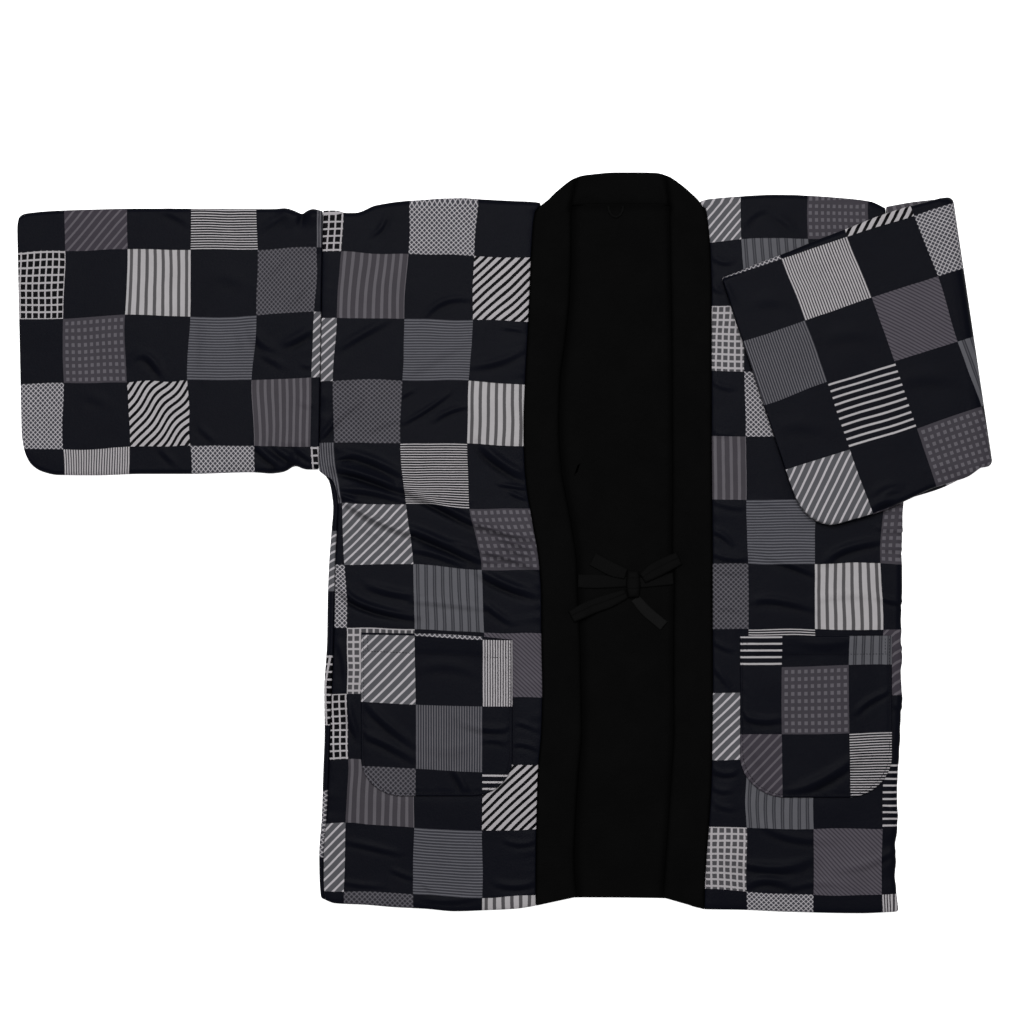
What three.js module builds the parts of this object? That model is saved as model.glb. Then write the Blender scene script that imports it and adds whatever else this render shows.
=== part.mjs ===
// A padded hanten jacket laid flat: printed body and sleeves, black fleece lining, collar and ties.
// Millimetres. +X is across the garment, +Y runs from hem to neck, +Z is up from the surface it lies on.
// "Right" and "left" are the wearer's, so the right side is at negative X.
import * as THREE from 'three';

// ---------- driving dimensions ----------
const WALL = 6;            // padded printed cloth
const LINING = 2;          // fleece lining
const COLLAR = 6.8;        // folded fleece collar band
const POCKET = 2.6;        // patch pocket, two cloths with no padding
const TIE = 3.4;           // tie band, folded fleece
const LOOP_TIE = 5.4;      // a bow loop: the tie folded on itself
const HANGER = 3;          // cord of the hanging loop
const GAP = 0.3;           // between neighbouring pieces
const CENTRE = { x: -0.69, y: -0.55 };   // middle of the outline, measured from the tables' own zero

const HALF = WALL / 2;
const BACK_MID = HALF;
const LINING_MID = WALL + GAP + LINING / 2;
const BODY_TOP = WALL + GAP + LINING;               // what the fronts, collar and ties rest on
const FRONT_MID = BODY_TOP + GAP + HALF;
const COLLAR_MID = BODY_TOP + GAP + COLLAR / 2;
const ROLL = (FRONT_MID - BACK_MID) / 2;            // radius of the cloth's middle where it turns over
const TURN = ROLL + HALF;                           // outline to the centre of that turn
const QUARTER = Math.PI / 2 - GAP / 2 / ROLL;       // a quarter turn that stops half a gap short
const FOLD_Z = FRONT_MID + HALF + GAP;              // height of the line that the left sleeve folds about

const EDGE_STEPS = [0, 0.9, HALF];                  // a padded edge rounds off over half its thickness
const ROLLED_STEPS = [0, 0.9, HALF, ROLL * QUARTER];
const LINING_STEPS = [0, 0.5, LINING / 2];

// ---------- tables ----------
const rows = (columns, values) =>
	values.map((line) => Object.fromEntries(columns.map((column, k) => [column, line[k]])));

// Right half of the body: outline, side seam, collar's outer and inner edge at each height.
const RIGHT = rows(['y', 'outline', 'seam', 'collarOut', 'collarIn'], [
	[-406.6, -205.5, -200.9, 34.5, 81.8],
	[-378.6, -207.8, -202.9, 34.5, 78.4],
	[-350.6, -208.3, -202.9, 34.7, 77.3],
	[-303.5, -205.2, -199.4, 35.6, 79.3],
	[-258.7, -203.8, -197.1, 37.0, 82.3],
	[-210.6, -202.2, -195.4, 40.9, 85.9],
	[-165.8, -202.7, -193.8, 41.9, 85.1],
	[-109.8, -199.4, -191.5, 40.9, 84.0],
	[-62.7, -198.8, -190.4, 40.8, 81.4],
	[-22.4, -197.1, -189.8, 38.1, 80.1],
	[15.7, -194.2, -187.6, 31.9, 75.0],
	[38.1, -192.6, -186.5, 28.0, 71.0],
	[56.0, -194.5, -188.4, 24.9, 67.4],
	[69.4, -197.7, -193.4, 23.5, 65.0],
	[80.6, -208.3, -208.0, 22.3, 63.3],
	[132.2, -207.5, -207.3, 20.9, 60.3],
	[181.4, -206.8, -206.6, 22.7, 61.9],
	[226.2, -206.1, -205.9, 25.2, 67.5],
	[271.0, -205.4, -205.2, 27.2, 72.0],
	[327.0, -204.5, -204.3, 29.7, 73.9],
	[368.0, -203.8, -203.6, 33.4, 73.9],
	[381.0, -203.6, -203.4, 44.0, 74.5],
]);

// Left half of the body; here the side seam lies on the edge.
const LEFT = rows(['y', 'collarOut', 'collarIn', 'outline'], [
	[-413.3, 222.9, 178.1, 438.8],
	[-389.8, 223.4, 177.3, 436.8],
	[-359.5, 224.9, 179.2, 435.9],
	[-322.6, 227.7, 182.0, 436.6],
	[-266.6, 230.9, 185.7, 437.5],
	[-210.6, 232.1, 188.5, 440.1],
	[-173.6, 232.4, 188.5, 442.3],
	[-109.8, 232.2, 188.4, 443.5],
	[-39.2, 232.1, 189.3, 444.0],
	[-4.5, 232.1, 186.7, 444.4],
	[33.6, 231.8, 187.0, 445.5],
	[49.3, 231.7, 187.3, 446.8],
	[132.2, 231.1, 187.0, 441.4],
	[200.5, 231.1, 186.7, 437.0],
	[268.8, 231.1, 185.9, 432.5],
	[327.0, 229.6, 184.8, 428.8],
	[360.0, 226.6, 184.2, 426.7],
	[373.0, 224.6, 183.9, 425.8],
]);

// Height of the shoulder fold and of the hem across the body; the collar covers the middle.
const SHOULDER = rows(['x', 'y'], [
	[-203.8, 370.2], [-189.3, 370.2], [-177.0, 367.9], [-166.9, 369.0], [-144.5, 377.4], [-99.7, 383.0],
	[-54.9, 385.3], [-10.1, 383.0], [34.7, 380.8], [60.0, 376.0], [200.0, 376.0], [224.0, 384.2],
	[258.7, 387.5], [303.5, 389.8], [370.7, 386.4], [408.8, 381.9], [425.6, 375.2],
]);
const NECKLINE = 376.0;    // where the neck collar meets the back
const HEM = rows(['x', 'y'], [
	[-205.0, -398.7], [-190.4, -404.3], [-156.8, -406.0], [-123.2, -408.8], [-89.6, -410.5], [-56.0, -413.3],
	[-22.4, -412.2], [11.2, -410.5], [34.7, -407.0], [81.8, -397.6], [178.0, -398.5], [222.9, -411.0],
	[263.2, -411.6], [313.6, -413.8], [397.6, -415.5], [439.0, -413.8],
]);

// Right sleeve, cuff to armhole: a point of the upper edge and one of the lower edge at each section.
const SLEEVE_RIGHT = rows(['topX', 'topY', 'lowX', 'lowY'], [
	[-546.0, 353.9, -541.0, 118.7],
	[-544.3, 362.9, -537.6, 100.8],
	[-538.7, 367.4, -530.9, 87.4],
	[-528.6, 369.0, -518.6, 79.0],
	[-509.6, 370.7, -500.6, 75.0],
	[-464.8, 372.4, -459.2, 74.5],
	[-408.8, 373.5, -405.4, 76.2],
	[-352.8, 373.5, -350.6, 76.2],
	[-296.8, 373.0, -296.8, 77.8],
	[-252.0, 373.0, -252.0, 78.4],
	[-229.6, 369.6, -231.8, 82.9],
	[-216.2, 370.7, -220.6, 81.0],
	[-204.4, 370.2, -208.9, 81.0],
]);

// Left sleeve: from the armhole out to the fold, then from the fold back to the cuff, above the rest.
const SLEEVE_LEFT_ROOT = rows(['topX', 'topY', 'lowX', 'lowY'], [
	[426.6, 375.6, 447.8, 47.6],
	[455.8, 380.8, 489.4, 60.5],
	[486.1, 384.2, 530.9, 82.9],
]);
const SLEEVE_LEFT_RETURN = rows(['topX', 'topY', 'lowX', 'lowY'], [
	[486.1, 384.2, 530.9, 82.9],
	[455.8, 376.3, 516.3, 72.8],
	[420.0, 365.1, 496.2, 66.1],
	[384.2, 351.1, 476.0, 59.4],
	[349.4, 337.7, 449.1, 47.0],
	[313.6, 323.1, 420.0, 34.2],
	[276.6, 309.1, 384.2, 23.0],
	[259.8, 301.8, 362.9, 19.0],
	[250.9, 298.5, 345.0, 24.6],
	[245.3, 296.2, 329.3, 40.3],
	[241.9, 294.6, 318.1, 65.0],
]);

// Neck stretch of the collar, from the right neck point to the left one: both edges and its middle height.
const NECK = rows(['outX', 'outY', 'inX', 'inY', 'mid'], [
	[46.2, 381.4, 75.0, 376.6, 12.0],
	[57.1, 392.0, 75.6, 376.7, 12.0],
	[76.2, 406.6, 77.4, 376.7, 11.0],
	[87.0, 410.6, 88.0, 376.5, 7.4],
	[97.4, 412.2, 98.6, 376.4, 4.6],
	[124.3, 414.4, 124.3, 376.4, 3.6],
	[151.2, 414.4, 151.2, 376.4, 3.6],
	[169.1, 413.8, 168.0, 376.5, 4.6],
	[183.7, 409.4, 181.0, 376.7, 9.0],
	[191.5, 404.3, 182.9, 376.8, 11.5],
	[206.1, 392.6, 184.2, 376.8, 12.0],
	[219.6, 378.4, 184.4, 376.2, 12.0],
]);

// Folds that stand up from the cloth: both ends, height and half width.
const BODY_FOLDS = rows(['x0', 'y0', 'x1', 'y1', 'height', 'width'], [
	[-186, 92, -116, 46, 3.4, 9],
	[-178, 66, -42, 4, 3.2, 9],
	[-172, 38, -104, 14, 2.6, 8],
	[-100, 14, -24, -22, 2.4, 9],
	[-176, -56, -104, -76, 2.6, 8],
	[-40, 28, 10, 6, 2.2, 8],
	[-188, -140, -178, -235, 2.0, 7],
	[-60, -330, 10, -352, 2.0, 8],
	[236, 165, 256, 163, 2.2, 7],
	[238, 4, 262, 0, 2.2, 7],
	[310, -334, 392, -352, 2.4, 8],
	[408, -20, 436, -60, 2.2, 8],
	[250, -350, 330, -362, 2.0, 8],
]);
const SLEEVE_GATHERS = rows(['x0', 'y0', 'x1', 'y1', 'height', 'width'], [
	[-206, 352, -238, 358, 2.2, 5],
	[-206, 334, -226, 336, 1.6, 4],
	[-206, 118, -262, 100, 2.4, 6],
	[-206, 98, -284, 88, 2.4, 5],
	[-206, 144, -236, 140, 1.6, 5],
]);

// ---------- small functions ----------
const share = (inset, half = HALF) => Math.sqrt(1 - (1 - Math.min(inset / half, 1)) ** 2);

// A function that reads one column of a table between its rows.
function readTable(table, key, column) {
	return (at) => {
		const next = Math.max(1, table.findIndex((row) => row[key] >= at));
		const upper = table[next > 0 && table[next][key] >= at ? next : table.length - 1];
		const lower = table[table.indexOf(upper) - 1];
		const t = THREE.MathUtils.clamp((at - lower[key]) / (upper[key] - lower[key]), 0, 1);
		return THREE.MathUtils.lerp(lower[column], upper[column], t);
	};
}

// A table row a share `t` of the way from one row to another.
const mix = (a, b, t) => Object.fromEntries(
	Object.keys(a).map((key) => [key, THREE.MathUtils.lerp(a[key], b[key], t)]),
);

// Height of the cloth that a set of folds adds at a point.
function foldHeight(folds) {
	return (x, y) => folds.reduce((sum, fold) => {
		const dx = fold.x1 - fold.x0;
		const dy = fold.y1 - fold.y0;
		const t = THREE.MathUtils.clamp(((x - fold.x0) * dx + (y - fold.y0) * dy) / (dx * dx + dy * dy), 0, 1);
		const away = Math.hypot(x - fold.x0 - t * dx, y - fold.y0 - t * dy);
		return sum + fold.height * Math.exp(-((away / fold.width) ** 2));
	}, 0);
}

// Cloth that turns over an edge through `angle` and then runs on for `leg`. `c` is the distance along the
// cloth from its cut end. Gives how far inside the outline it lies, and how far it has risen and turned.
function curl(c, angle, leg) {
	const start = TURN * Math.sin(Math.min(angle, Math.PI / 2));
	const past = angle * ROLL + leg - c;
	if (past <= 0) return { inset: start - past, rise: 0, turn: 0 };
	const a = Math.min(past / ROLL, angle);
	const straight = Math.max(0, past - angle * ROLL);
	return {
		inset: start - ROLL * Math.sin(a) - straight * Math.cos(a),
		rise: ROLL * (1 - Math.cos(a)) + straight * Math.sin(a),
		turn: a,
	};
}

// Stations along a span: given steps in from both ends, and between them the given shares of the rest.
const even = (count) => Array.from({ length: count }, (_, k) => (k + 1) / (count + 1));
function stations(startSteps, endSteps, shares) {
	const middle = shares.map((at) => ({ share: at }));
	return [
		...startSteps.map((step) => ({ start: step })),
		...middle,
		...endSteps.toReversed().map((step) => ({ end: step })),
	];
}

// ---------- solids ----------
const COLOURS = {
	print: { color: 0x2b2d33, roughness: 0.55, metalness: 0 },
	fleece: { color: 0x0c0c0d, roughness: 0.95, metalness: 0 },
};
const garment = new THREE.Group();

// A closed wall from a grid of mid-surface points. Each has a place, an outward facing, and how far the
// outer and inner faces stand from it, which is nothing along a free edge. `tube` joins the first and last
// columns.
function wall(name, material, grid, tube = false) {
	const columns = grid[0].length;
	const positions = [];
	const indexOf = { outer: [], inner: [] };
	grid.forEach((row, j) => row.forEach((point, i) => {
		const free = j === 0 || j === grid.length - 1 || (!tube && (i === 0 || i === columns - 1));
		const at = (distance) => {
			const p = point.place.clone().addScaledVector(point.facing, distance);
			positions.push(p.x - CENTRE.x, p.y - CENTRE.y, p.z);
			return positions.length / 3 - 1;
		};
		const outer = at(free ? 0 : point.outer);
		indexOf.outer.push(outer);
		indexOf.inner.push(free ? outer : at(-point.inner));
	}));
	const faces = [];
	const quad = (a, b, c, d) => {
		for (const face of [[a, b, c], [a, c, d]]) {
			if (new Set(face).size === 3) faces.push(...face);
		}
	};
	for (let j = 0; j < grid.length - 1; j += 1) {
		for (let i = 0; i < columns - (tube ? 0 : 1); i += 1) {
			const next = (i + 1) % columns;
			const corners = [j * columns + i, j * columns + next, (j + 1) * columns + next, (j + 1) * columns + i];
			quad(...corners.map((k) => indexOf.outer[k]));
			quad(...corners.map((k) => indexOf.inner[k]).toReversed());
		}
	}
	const corner = (k) => new THREE.Vector3().fromArray(positions, 3 * faces[k]);
	let volume = 0;
	for (let k = 0; k < faces.length; k += 3) {
		volume += corner(k).dot(corner(k + 1).cross(corner(k + 2))) / 6;
	}
	const geometry = new THREE.BufferGeometry();
	geometry.setAttribute('position', new THREE.Float32BufferAttribute(positions, 3));
	geometry.setIndex(volume > 0 ? faces : faces.toReversed());
	geometry.computeVertexNormals();
	const mesh = new THREE.Mesh(geometry, new THREE.MeshStandardMaterial(COLOURS[material]));
	mesh.name = name;
	garment.add(mesh);
}

const FLAT = { inset: 0, rise: 0, turn: 0 };
const flatEdge = () => [0, 0];

// Where a row of a panel lies, above its low line or below its high line, which may curl over.
function rowAt(row, x, { low, high, lines, highCurl = flatEdge }) {
	if (row.start !== undefined) return { y: low(x) + row.start, edge: FLAT };
	if (row.end !== undefined) {
		const edge = curl(row.end, ...highCurl(x));
		return { y: high(x) - edge.inset, edge };
	}
	const from = low(x) + lines.lowSteps.at(-1);
	const to = high(x) - curl(lines.highSteps.at(-1), ...highCurl(x)).inset;
	return { y: THREE.MathUtils.lerp(from, to, row.share), edge: FLAT };
}

// Where a column lies between the side lines, which may curl over too; `outward` is the side it faces there.
function columnAt(column, y, { left, right, columns, leftCurl = flatEdge, rightCurl = flatEdge }) {
	const leftStep = (step) => step * (columns.leftScale ? columns.leftScale(y) : 1);
	if (column.start !== undefined) {
		const edge = curl(leftStep(column.start), ...leftCurl(y));
		return { x: left(y) + edge.inset, edge, outward: -1, away: leftStep(column.start) };
	}
	if (column.end !== undefined) {
		const edge = curl(column.end, ...rightCurl(y));
		return { x: right(y) - edge.inset, edge, outward: 1, away: column.end };
	}
	const from = left(y) + curl(leftStep(columns.leftSteps.at(-1)), ...leftCurl(y)).inset;
	const to = right(y) - curl(columns.rightSteps.at(-1), ...rightCurl(y)).inset;
	return { x: THREE.MathUtils.lerp(from, to, column.share), edge: FLAT, outward: 0, away: Infinity };
}

// A body panel between two side lines and two end lines. Its edges curl up (curlSide 1) or down (-1).
const SETTLE = 3;          // passes that make a point's row and column agree
function panel(name, material, shape) {
	const { columns, lines, half, mid, facing, curlSide = 1, fold = () => 0 } = shape;
	const across = stations(columns.leftSteps, columns.rightSteps, columns.shares);
	const along = stations(lines.lowSteps, lines.highSteps, lines.shares);
	const grid = along.map((row) => across.map((column) => {
		let side = columnAt(column, 0, shape);
		let end = rowAt(row, side.x, shape);
		for (let pass = 0; pass < SETTLE; pass += 1) {
			side = columnAt(column, end.y, shape);
			end = rowAt(row, side.x, shape);
		}
		const sideways = side.edge.turn >= end.edge.turn;
		const turn = sideways ? side.edge.turn : end.edge.turn;
		const rounding = share(Math.min(side.away, row.start ?? Infinity, row.end ?? Infinity), half);
		return {
			place: new THREE.Vector3(side.x, end.y, mid + curlSide * (side.edge.rise + end.edge.rise)),
			facing: new THREE.Vector3(
				(sideways ? side.outward : 0) * Math.sin(turn),
				(sideways ? 0 : 1) * Math.sin(turn),
				facing * Math.cos(turn),
			),
			outer: (half + (facing > 0 ? fold(side.x, end.y) : 0)) * rounding,
			inner: half * rounding,
		};
	}));
	wall(name, material, grid);
}

// A band that follows a path: each station has its two edges, its middle height and how full it is.
function band(name, material, path, half, count = 3, steps = [0, 0.3 * half, half]) {
	const grid = path.map((row) => {
		const from = new THREE.Vector3(row.outX, row.outY, row.mid);
		const to = new THREE.Vector3(row.inX, row.inY, row.mid);
		const width = from.distanceTo(to);
		return stations(steps, steps, even(count)).map((station) => {
			const distance = station.start ?? (station.end !== undefined
				? width - station.end
				: THREE.MathUtils.lerp(steps.at(-1), width - steps.at(-1), station.share));
			const reach = half * share(Math.min(distance, width - distance), half) * row.full;
			const place = from.clone().lerp(to, distance / width);
			return { place, facing: new THREE.Vector3(0, 0, 1), outer: reach, inner: reach };
		});
	});
	wall(name, material, grid);
}

// Rounds off both ends of a band's path: two more stations close to each end, which is drawn to an edge.
function roundEnds(path, half) {
	const middle = (row) => new THREE.Vector3((row.outX + row.inX) / 2, (row.outY + row.inY) / 2, row.mid);
	const ending = (a, b) => {
		const length = middle(a).distanceTo(middle(b));
		return [0, 0.3 * half, half].map((step) => ({ ...mix(a, b, step / length), full: share(step, half) }));
	};
	const body = path.slice(1, -1).map((row) => ({ ...row, full: 1 }));
	return [...ending(path[0], path[1]), ...body, ...ending(path.at(-1), path.at(-2)).toReversed()];
}

// A ribbon laid along a centre line of given width.
function ribbon(name, line, half) {
	const path = line.map((at, k) => {
		const [before, after] = [line[Math.max(0, k - 1)], line[Math.min(line.length - 1, k + 1)]];
		const along = new THREE.Vector2(after.x - before.x, after.y - before.y).normalize();
		const [dx, dy] = [(-along.y * at.width) / 2, (along.x * at.width) / 2];
		return { outX: at.x + dx, outY: at.y + dy, inX: at.x - dx, inY: at.y - dy, mid: at.mid };
	});
	band(name, 'fleece', roundEnds(path, half), half, 1);
}

// The ring of a flattened tube: distance from its upper edge, height, and which way it faces.
const ARC = [0, 1, 2, 3, 4].map((k) => (k * Math.PI) / 4);
const LEG = 8;             // stretches along each flat side of the ring
function flatRing(span) {
	const flats = Array.from({ length: LEG - 1 }, (_, k) => (k + 1) / LEG);
	const leg = flats.map((at) => THREE.MathUtils.lerp(TURN, span - TURN, at));
	const bend = (angle, sign, centre) => ({
		distance: centre + sign * ROLL * Math.sin(angle),
		height: BACK_MID + ROLL * (1 - Math.cos(angle)),
		along: sign * Math.sin(angle),
		up: -Math.cos(angle),
	});
	return [
		...ARC.map((angle) => bend(angle, -1, TURN)),
		...leg.map((distance) => ({ distance, height: FRONT_MID, along: 0, up: 1 })),
		...ARC.toReversed().map((angle) => bend(angle, 1, span - TURN)),
		...leg.toReversed().map((distance) => ({ distance, height: BACK_MID, along: 0, up: -1 })),
	];
}

// A flattened tube of cloth. Each section has a point on either edge, and `lift` takes a height to its place.
function flatTube(name, sections, fold) {
	const grid = sections.map((section) => {
		const top = new THREE.Vector2(section.topX, section.topY);
		const low = new THREE.Vector2(section.lowX, section.lowY);
		const down = low.clone().sub(top).normalize();
		return flatRing(top.distanceTo(low)).map(({ distance, height, along, up }) => {
			const plan = top.clone().addScaledVector(down, distance);
			const place = section.lift(plan, height);
			const above = section.lift(plan, height + 1).sub(place);
			const facing = new THREE.Vector3(down.x * along, down.y * along, 0).addScaledVector(above, up);
			const upper = up > 0.9 && !section.bend;
			const raised = upper ? fold(plan.x, plan.y) : 0;
			const [outer, inner] = [(HALF + raised) * section.full, HALF * section.full];
			return { place, facing: facing.normalize(), outer, inner };
		});
	});
	wall(name, 'print', grid, true);
}

const level = (plan, height) => new THREE.Vector3(plan.x, plan.y, height);

// ---------- body ----------
const rightOutline = readTable(RIGHT, 'y', 'outline');
const rightSeam = readTable(RIGHT, 'y', 'seam');
const leftOutline = readTable(LEFT, 'y', 'outline');
const shoulder = readTable(SHOULDER, 'x', 'y');
const hem = readTable(HEM, 'x', 'y');
const underarmRight = 80;      // below this the right side of the back rolls round to the front
const underarmLeft = 46;

// The back's cloth shows as a strip outside the right side seam: how far it turns, and what then lies flat.
function stripCurl(y) {
	if (y > underarmRight) return [0, 0];
	const visible = rightSeam(y) - GAP - rightOutline(y);
	if (visible >= TURN) return [Math.PI, visible - TURN];
	return [Math.PI - Math.asin(Math.min(1, (TURN - visible) / ROLL)), 0];
}
const stripLength = (y) => {
	const [angle, leg] = stripCurl(y);
	return angle * ROLL + leg;
};
const STRIP_STEPS = [0, 0.9, 3, 6.5, 10, 13.5];
const stripScale = (y) => Math.max(0.4, stripLength(y) / STRIP_STEPS.at(-1));
const seamCurl = (y) => (y > underarmLeft ? [0, 0] : [QUARTER, 0]);
const shoulderCurl = (x) => (x > 30 && x < 226 ? [0, 0] : [QUARTER, 0]);

function back() {
	panel('back', 'print', {
		left: rightOutline,
		right: leftOutline,
		low: hem,
		high: (x) => Math.min(shoulder(x), x > 30 && x < 226 ? NECKLINE : Infinity),
		mid: BACK_MID,
		half: HALF,
		facing: -1,
		curlSide: 1,
		leftCurl: stripCurl,
		rightCurl: seamCurl,
		highCurl: shoulderCurl,
		columns: { leftSteps: STRIP_STEPS, rightSteps: ROLLED_STEPS, shares: even(7), leftScale: stripScale },
		lines: { lowSteps: EDGE_STEPS, highSteps: ROLLED_STEPS, shares: BODY_ROWS },
	});
}

function backLining() {
	const inset = TURN + 0.4;
	const near = [-26, 0, 26];
	const innermost = (outline, y, sign) => sign * Math.max(...near.map((step) => sign * outline(y + step)));
	panel('back_lining', 'fleece', {
		left: (y) => (y > underarmRight + 24 ? rightOutline(y) + 0.6 : innermost(rightOutline, y, 1) + inset),
		right: (y) => (y > underarmLeft + 24 ? leftOutline(y) - 0.6 : innermost(leftOutline, y, -1) - inset),
		low: (x) => hem(x) - (x > 75 && x < 185 ? 0.5 : -2),
		high: (x) => (x > 75 && x < 185 ? NECKLINE - 0.2 : shoulder(x) - inset - 5),
		mid: LINING_MID,
		half: LINING / 2,
		facing: 1,
		columns: { leftSteps: LINING_STEPS, rightSteps: LINING_STEPS, shares: even(9) },
		lines: { lowSteps: LINING_STEPS, highSteps: LINING_STEPS, shares: even(14) },
	});
}

// All body panels share these rows, close together below the armholes where the deep folds run.
const BODY_SPAN = { low: -405, high: 375 };
const heights = (from, to, step) =>
	Array.from({ length: Math.round((to - from) / step) + 1 }, (_, k) => from + k * step);
const BODY_ROWS = [...heights(-365, -115, 50), ...heights(-88, 108, 14), ...heights(146, 346, 40)]
	.map((y) => (y - BODY_SPAN.low) / (BODY_SPAN.high - BODY_SPAN.low));

const bodyFold = foldHeight(BODY_FOLDS);
const frontCommon = {
	low: hem,
	high: shoulder,
	mid: FRONT_MID,
	half: HALF,
	facing: 1,
	curlSide: -1,
	fold: bodyFold,
};

function fronts() {
	const collarRight = readTable(RIGHT, 'y', 'collarOut');
	const collarLeft = readTable(LEFT, 'y', 'collarOut');
	panel('front_right', 'print', {
		...frontCommon,
		left: rightSeam,
		right: (y) => collarRight(y) - GAP / 2,
		highCurl: () => [QUARTER, 0],
		columns: { leftSteps: EDGE_STEPS, rightSteps: EDGE_STEPS, shares: even(12) },
		lines: { lowSteps: EDGE_STEPS, highSteps: ROLLED_STEPS, shares: BODY_ROWS },
	});
	panel('front_left', 'print', {
		...frontCommon,
		left: (y) => collarLeft(y) + GAP / 2,
		right: leftOutline,
		rightCurl: seamCurl,
		highCurl: () => [QUARTER, 0],
		columns: { leftSteps: EDGE_STEPS, rightSteps: ROLLED_STEPS, shares: even(9) },
		lines: { lowSteps: EDGE_STEPS, highSteps: ROLLED_STEPS, shares: BODY_ROWS },
	});
}

// ---------- sleeves ----------
function withEnds(sections) {
	const near = (a, b, distance) => mix(a, b, distance / Math.hypot(b.topX - a.topX, b.topY - a.topY));
	const [first, second] = sections;
	const [last, previous] = [sections.at(-1), sections.at(-2)];
	return [
		{ ...first, full: 0 },
		{ ...near(first, second, 0.9), full: share(0.9) },
		...sections.slice(1, -1).map((section) => ({ ...section, full: 1 })),
		{ ...near(last, previous, HALF), full: 1 },
		{ ...near(last, previous, 0.9), full: share(0.9) },
		{ ...last, full: 0 },
	];
}

function sleeveRight() {
	const sections = withEnds(SLEEVE_RIGHT).map((section) => ({ ...section, lift: level }));
	flatTube('sleeve_right', sections, foldHeight(SLEEVE_GATHERS));
}

function sleeveLeft() {
	const fold = SLEEVE_LEFT_RETURN[0];
	const outward = new THREE.Vector2(fold.topY - fold.lowY, fold.lowX - fold.topX).normalize();
	const turned = (angle) => (plan, height) => {
		const reach = FOLD_Z - height;
		return new THREE.Vector3(
			plan.x + reach * Math.sin(angle) * outward.x,
			plan.y + reach * Math.sin(angle) * outward.y,
			FOLD_Z - reach * Math.cos(angle),
		);
	};
	const BEND = 6;
	const bend = Array.from({ length: BEND - 1 }, (_, k) => ({
		...fold,
		full: 1,
		bend: true,
		lift: turned(((k + 1) * Math.PI) / BEND),
	}));
	const whole = withEnds([...SLEEVE_LEFT_ROOT, ...SLEEVE_LEFT_RETURN]);
	const folded = whole.findIndex((section) => section.topX === fold.topX);
	const sections = [
		...whole.slice(0, folded + 1).map((section) => ({ ...section, lift: level })),
		...bend,
		...whole.slice(folded + 1).map((section) => ({ ...section, lift: turned(Math.PI) })),
	];
	flatTube('sleeve_left', sections, () => 0);
}

// ---------- collar ----------
function collarSide(name, table, sign, top) {
	const half = COLLAR / 2;
	const outer = readTable(table, 'y', 'collarOut');
	const inner = readTable(table, 'y', 'collarIn');
	const outX = (y) => outer(y) - sign * 1.6 * GAP;
	const sideRows = table.map((row) => row.y).filter((y) => y > -395 && y < top.inY - 12);
	const side = sideRows.map((y) => ({ outX: outX(y), outY: y, inX: inner(y), inY: y }));
	const path = [...side, top].map((row) => ({ ...row, mid: COLLAR_MID }));
	const hemOut = hem(outer(-400) + sign * 4);
	const lowIn = inner(-395);
	const bottom = { outX: outX(-400), outY: hemOut, inX: lowIn, inY: hem(lowIn) + 0.5, mid: COLLAR_MID };
	band(name, 'fleece', roundEnds([bottom, ...path], half), half);
}

function collar() {
	const half = COLLAR / 2;
	collarSide('collar_right', RIGHT, -1, { outX: 45.7, outY: 380.8, inX: 74.8, inY: 376.1 });
	collarSide('collar_left', LEFT, 1, { outX: 220.3, outY: 377.9, inX: 184.7, inY: 375.6 });
	band('collar_neck', 'fleece', roundEnds(NECK, half), half);
}

// ---------- pockets ----------
const POCKET_STEPS = [0, 0.4, POCKET / 2, 8, 18];     // the last two follow the rounded corners
// A patch pocket is a square-topped shape with rounded lower corners, lifted off its front.
function pocket(name, { leftX, rightX, mouthLeft, mouthRight, bottomY, corner }) {
	const middleX = (leftX + rightX) / 2;
	const halfWidth = (rightX - leftX) / 2;
	const lift = FRONT_MID + HALF + 2.2 * GAP;
	const lowAt = (x) => {
		const past = Math.max(0, Math.abs(x - middleX) - (halfWidth - corner)) / corner;
		return bottomY + corner * 0.92 * (1 - Math.sqrt(Math.max(0, 1 - Math.min(past, 1) ** 2)));
	};
	const highAt = (x) => THREE.MathUtils.lerp(mouthLeft, mouthRight, (x - leftX) / (rightX - leftX));
	const half = POCKET / 2;
	panel(name, 'print', {
		left: () => leftX,
		right: () => rightX,
		low: lowAt,
		high: highAt,
		mid: lift + half,
		half,
		facing: 1,
		columns: { leftSteps: POCKET_STEPS, rightSteps: POCKET_STEPS, shares: even(4) },
		lines: { lowSteps: POCKET_STEPS.slice(0, 3), highSteps: POCKET_STEPS.slice(0, 3), shares: even(6) },
	});
}

const POCKETS = rows(['name', 'leftX', 'rightX', 'mouthLeft', 'mouthRight', 'bottomY', 'corner'], [
	['pocket_right', -161, 8.4, -103, -111, -284, 46],
	['pocket_left', 262.9, 433.2, -105.5, -104.5, -285.6, 40],
]);
function pockets() {
	for (const row of POCKETS) pocket(row.name, row);
}

// ---------- ties and hanging loop ----------
const KNOT = { x: 143.4, y: -47, mid: 14.6, width: 15.6, length: 30, half: 5.6 };
const TAIL_HALF = 1.5;

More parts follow.
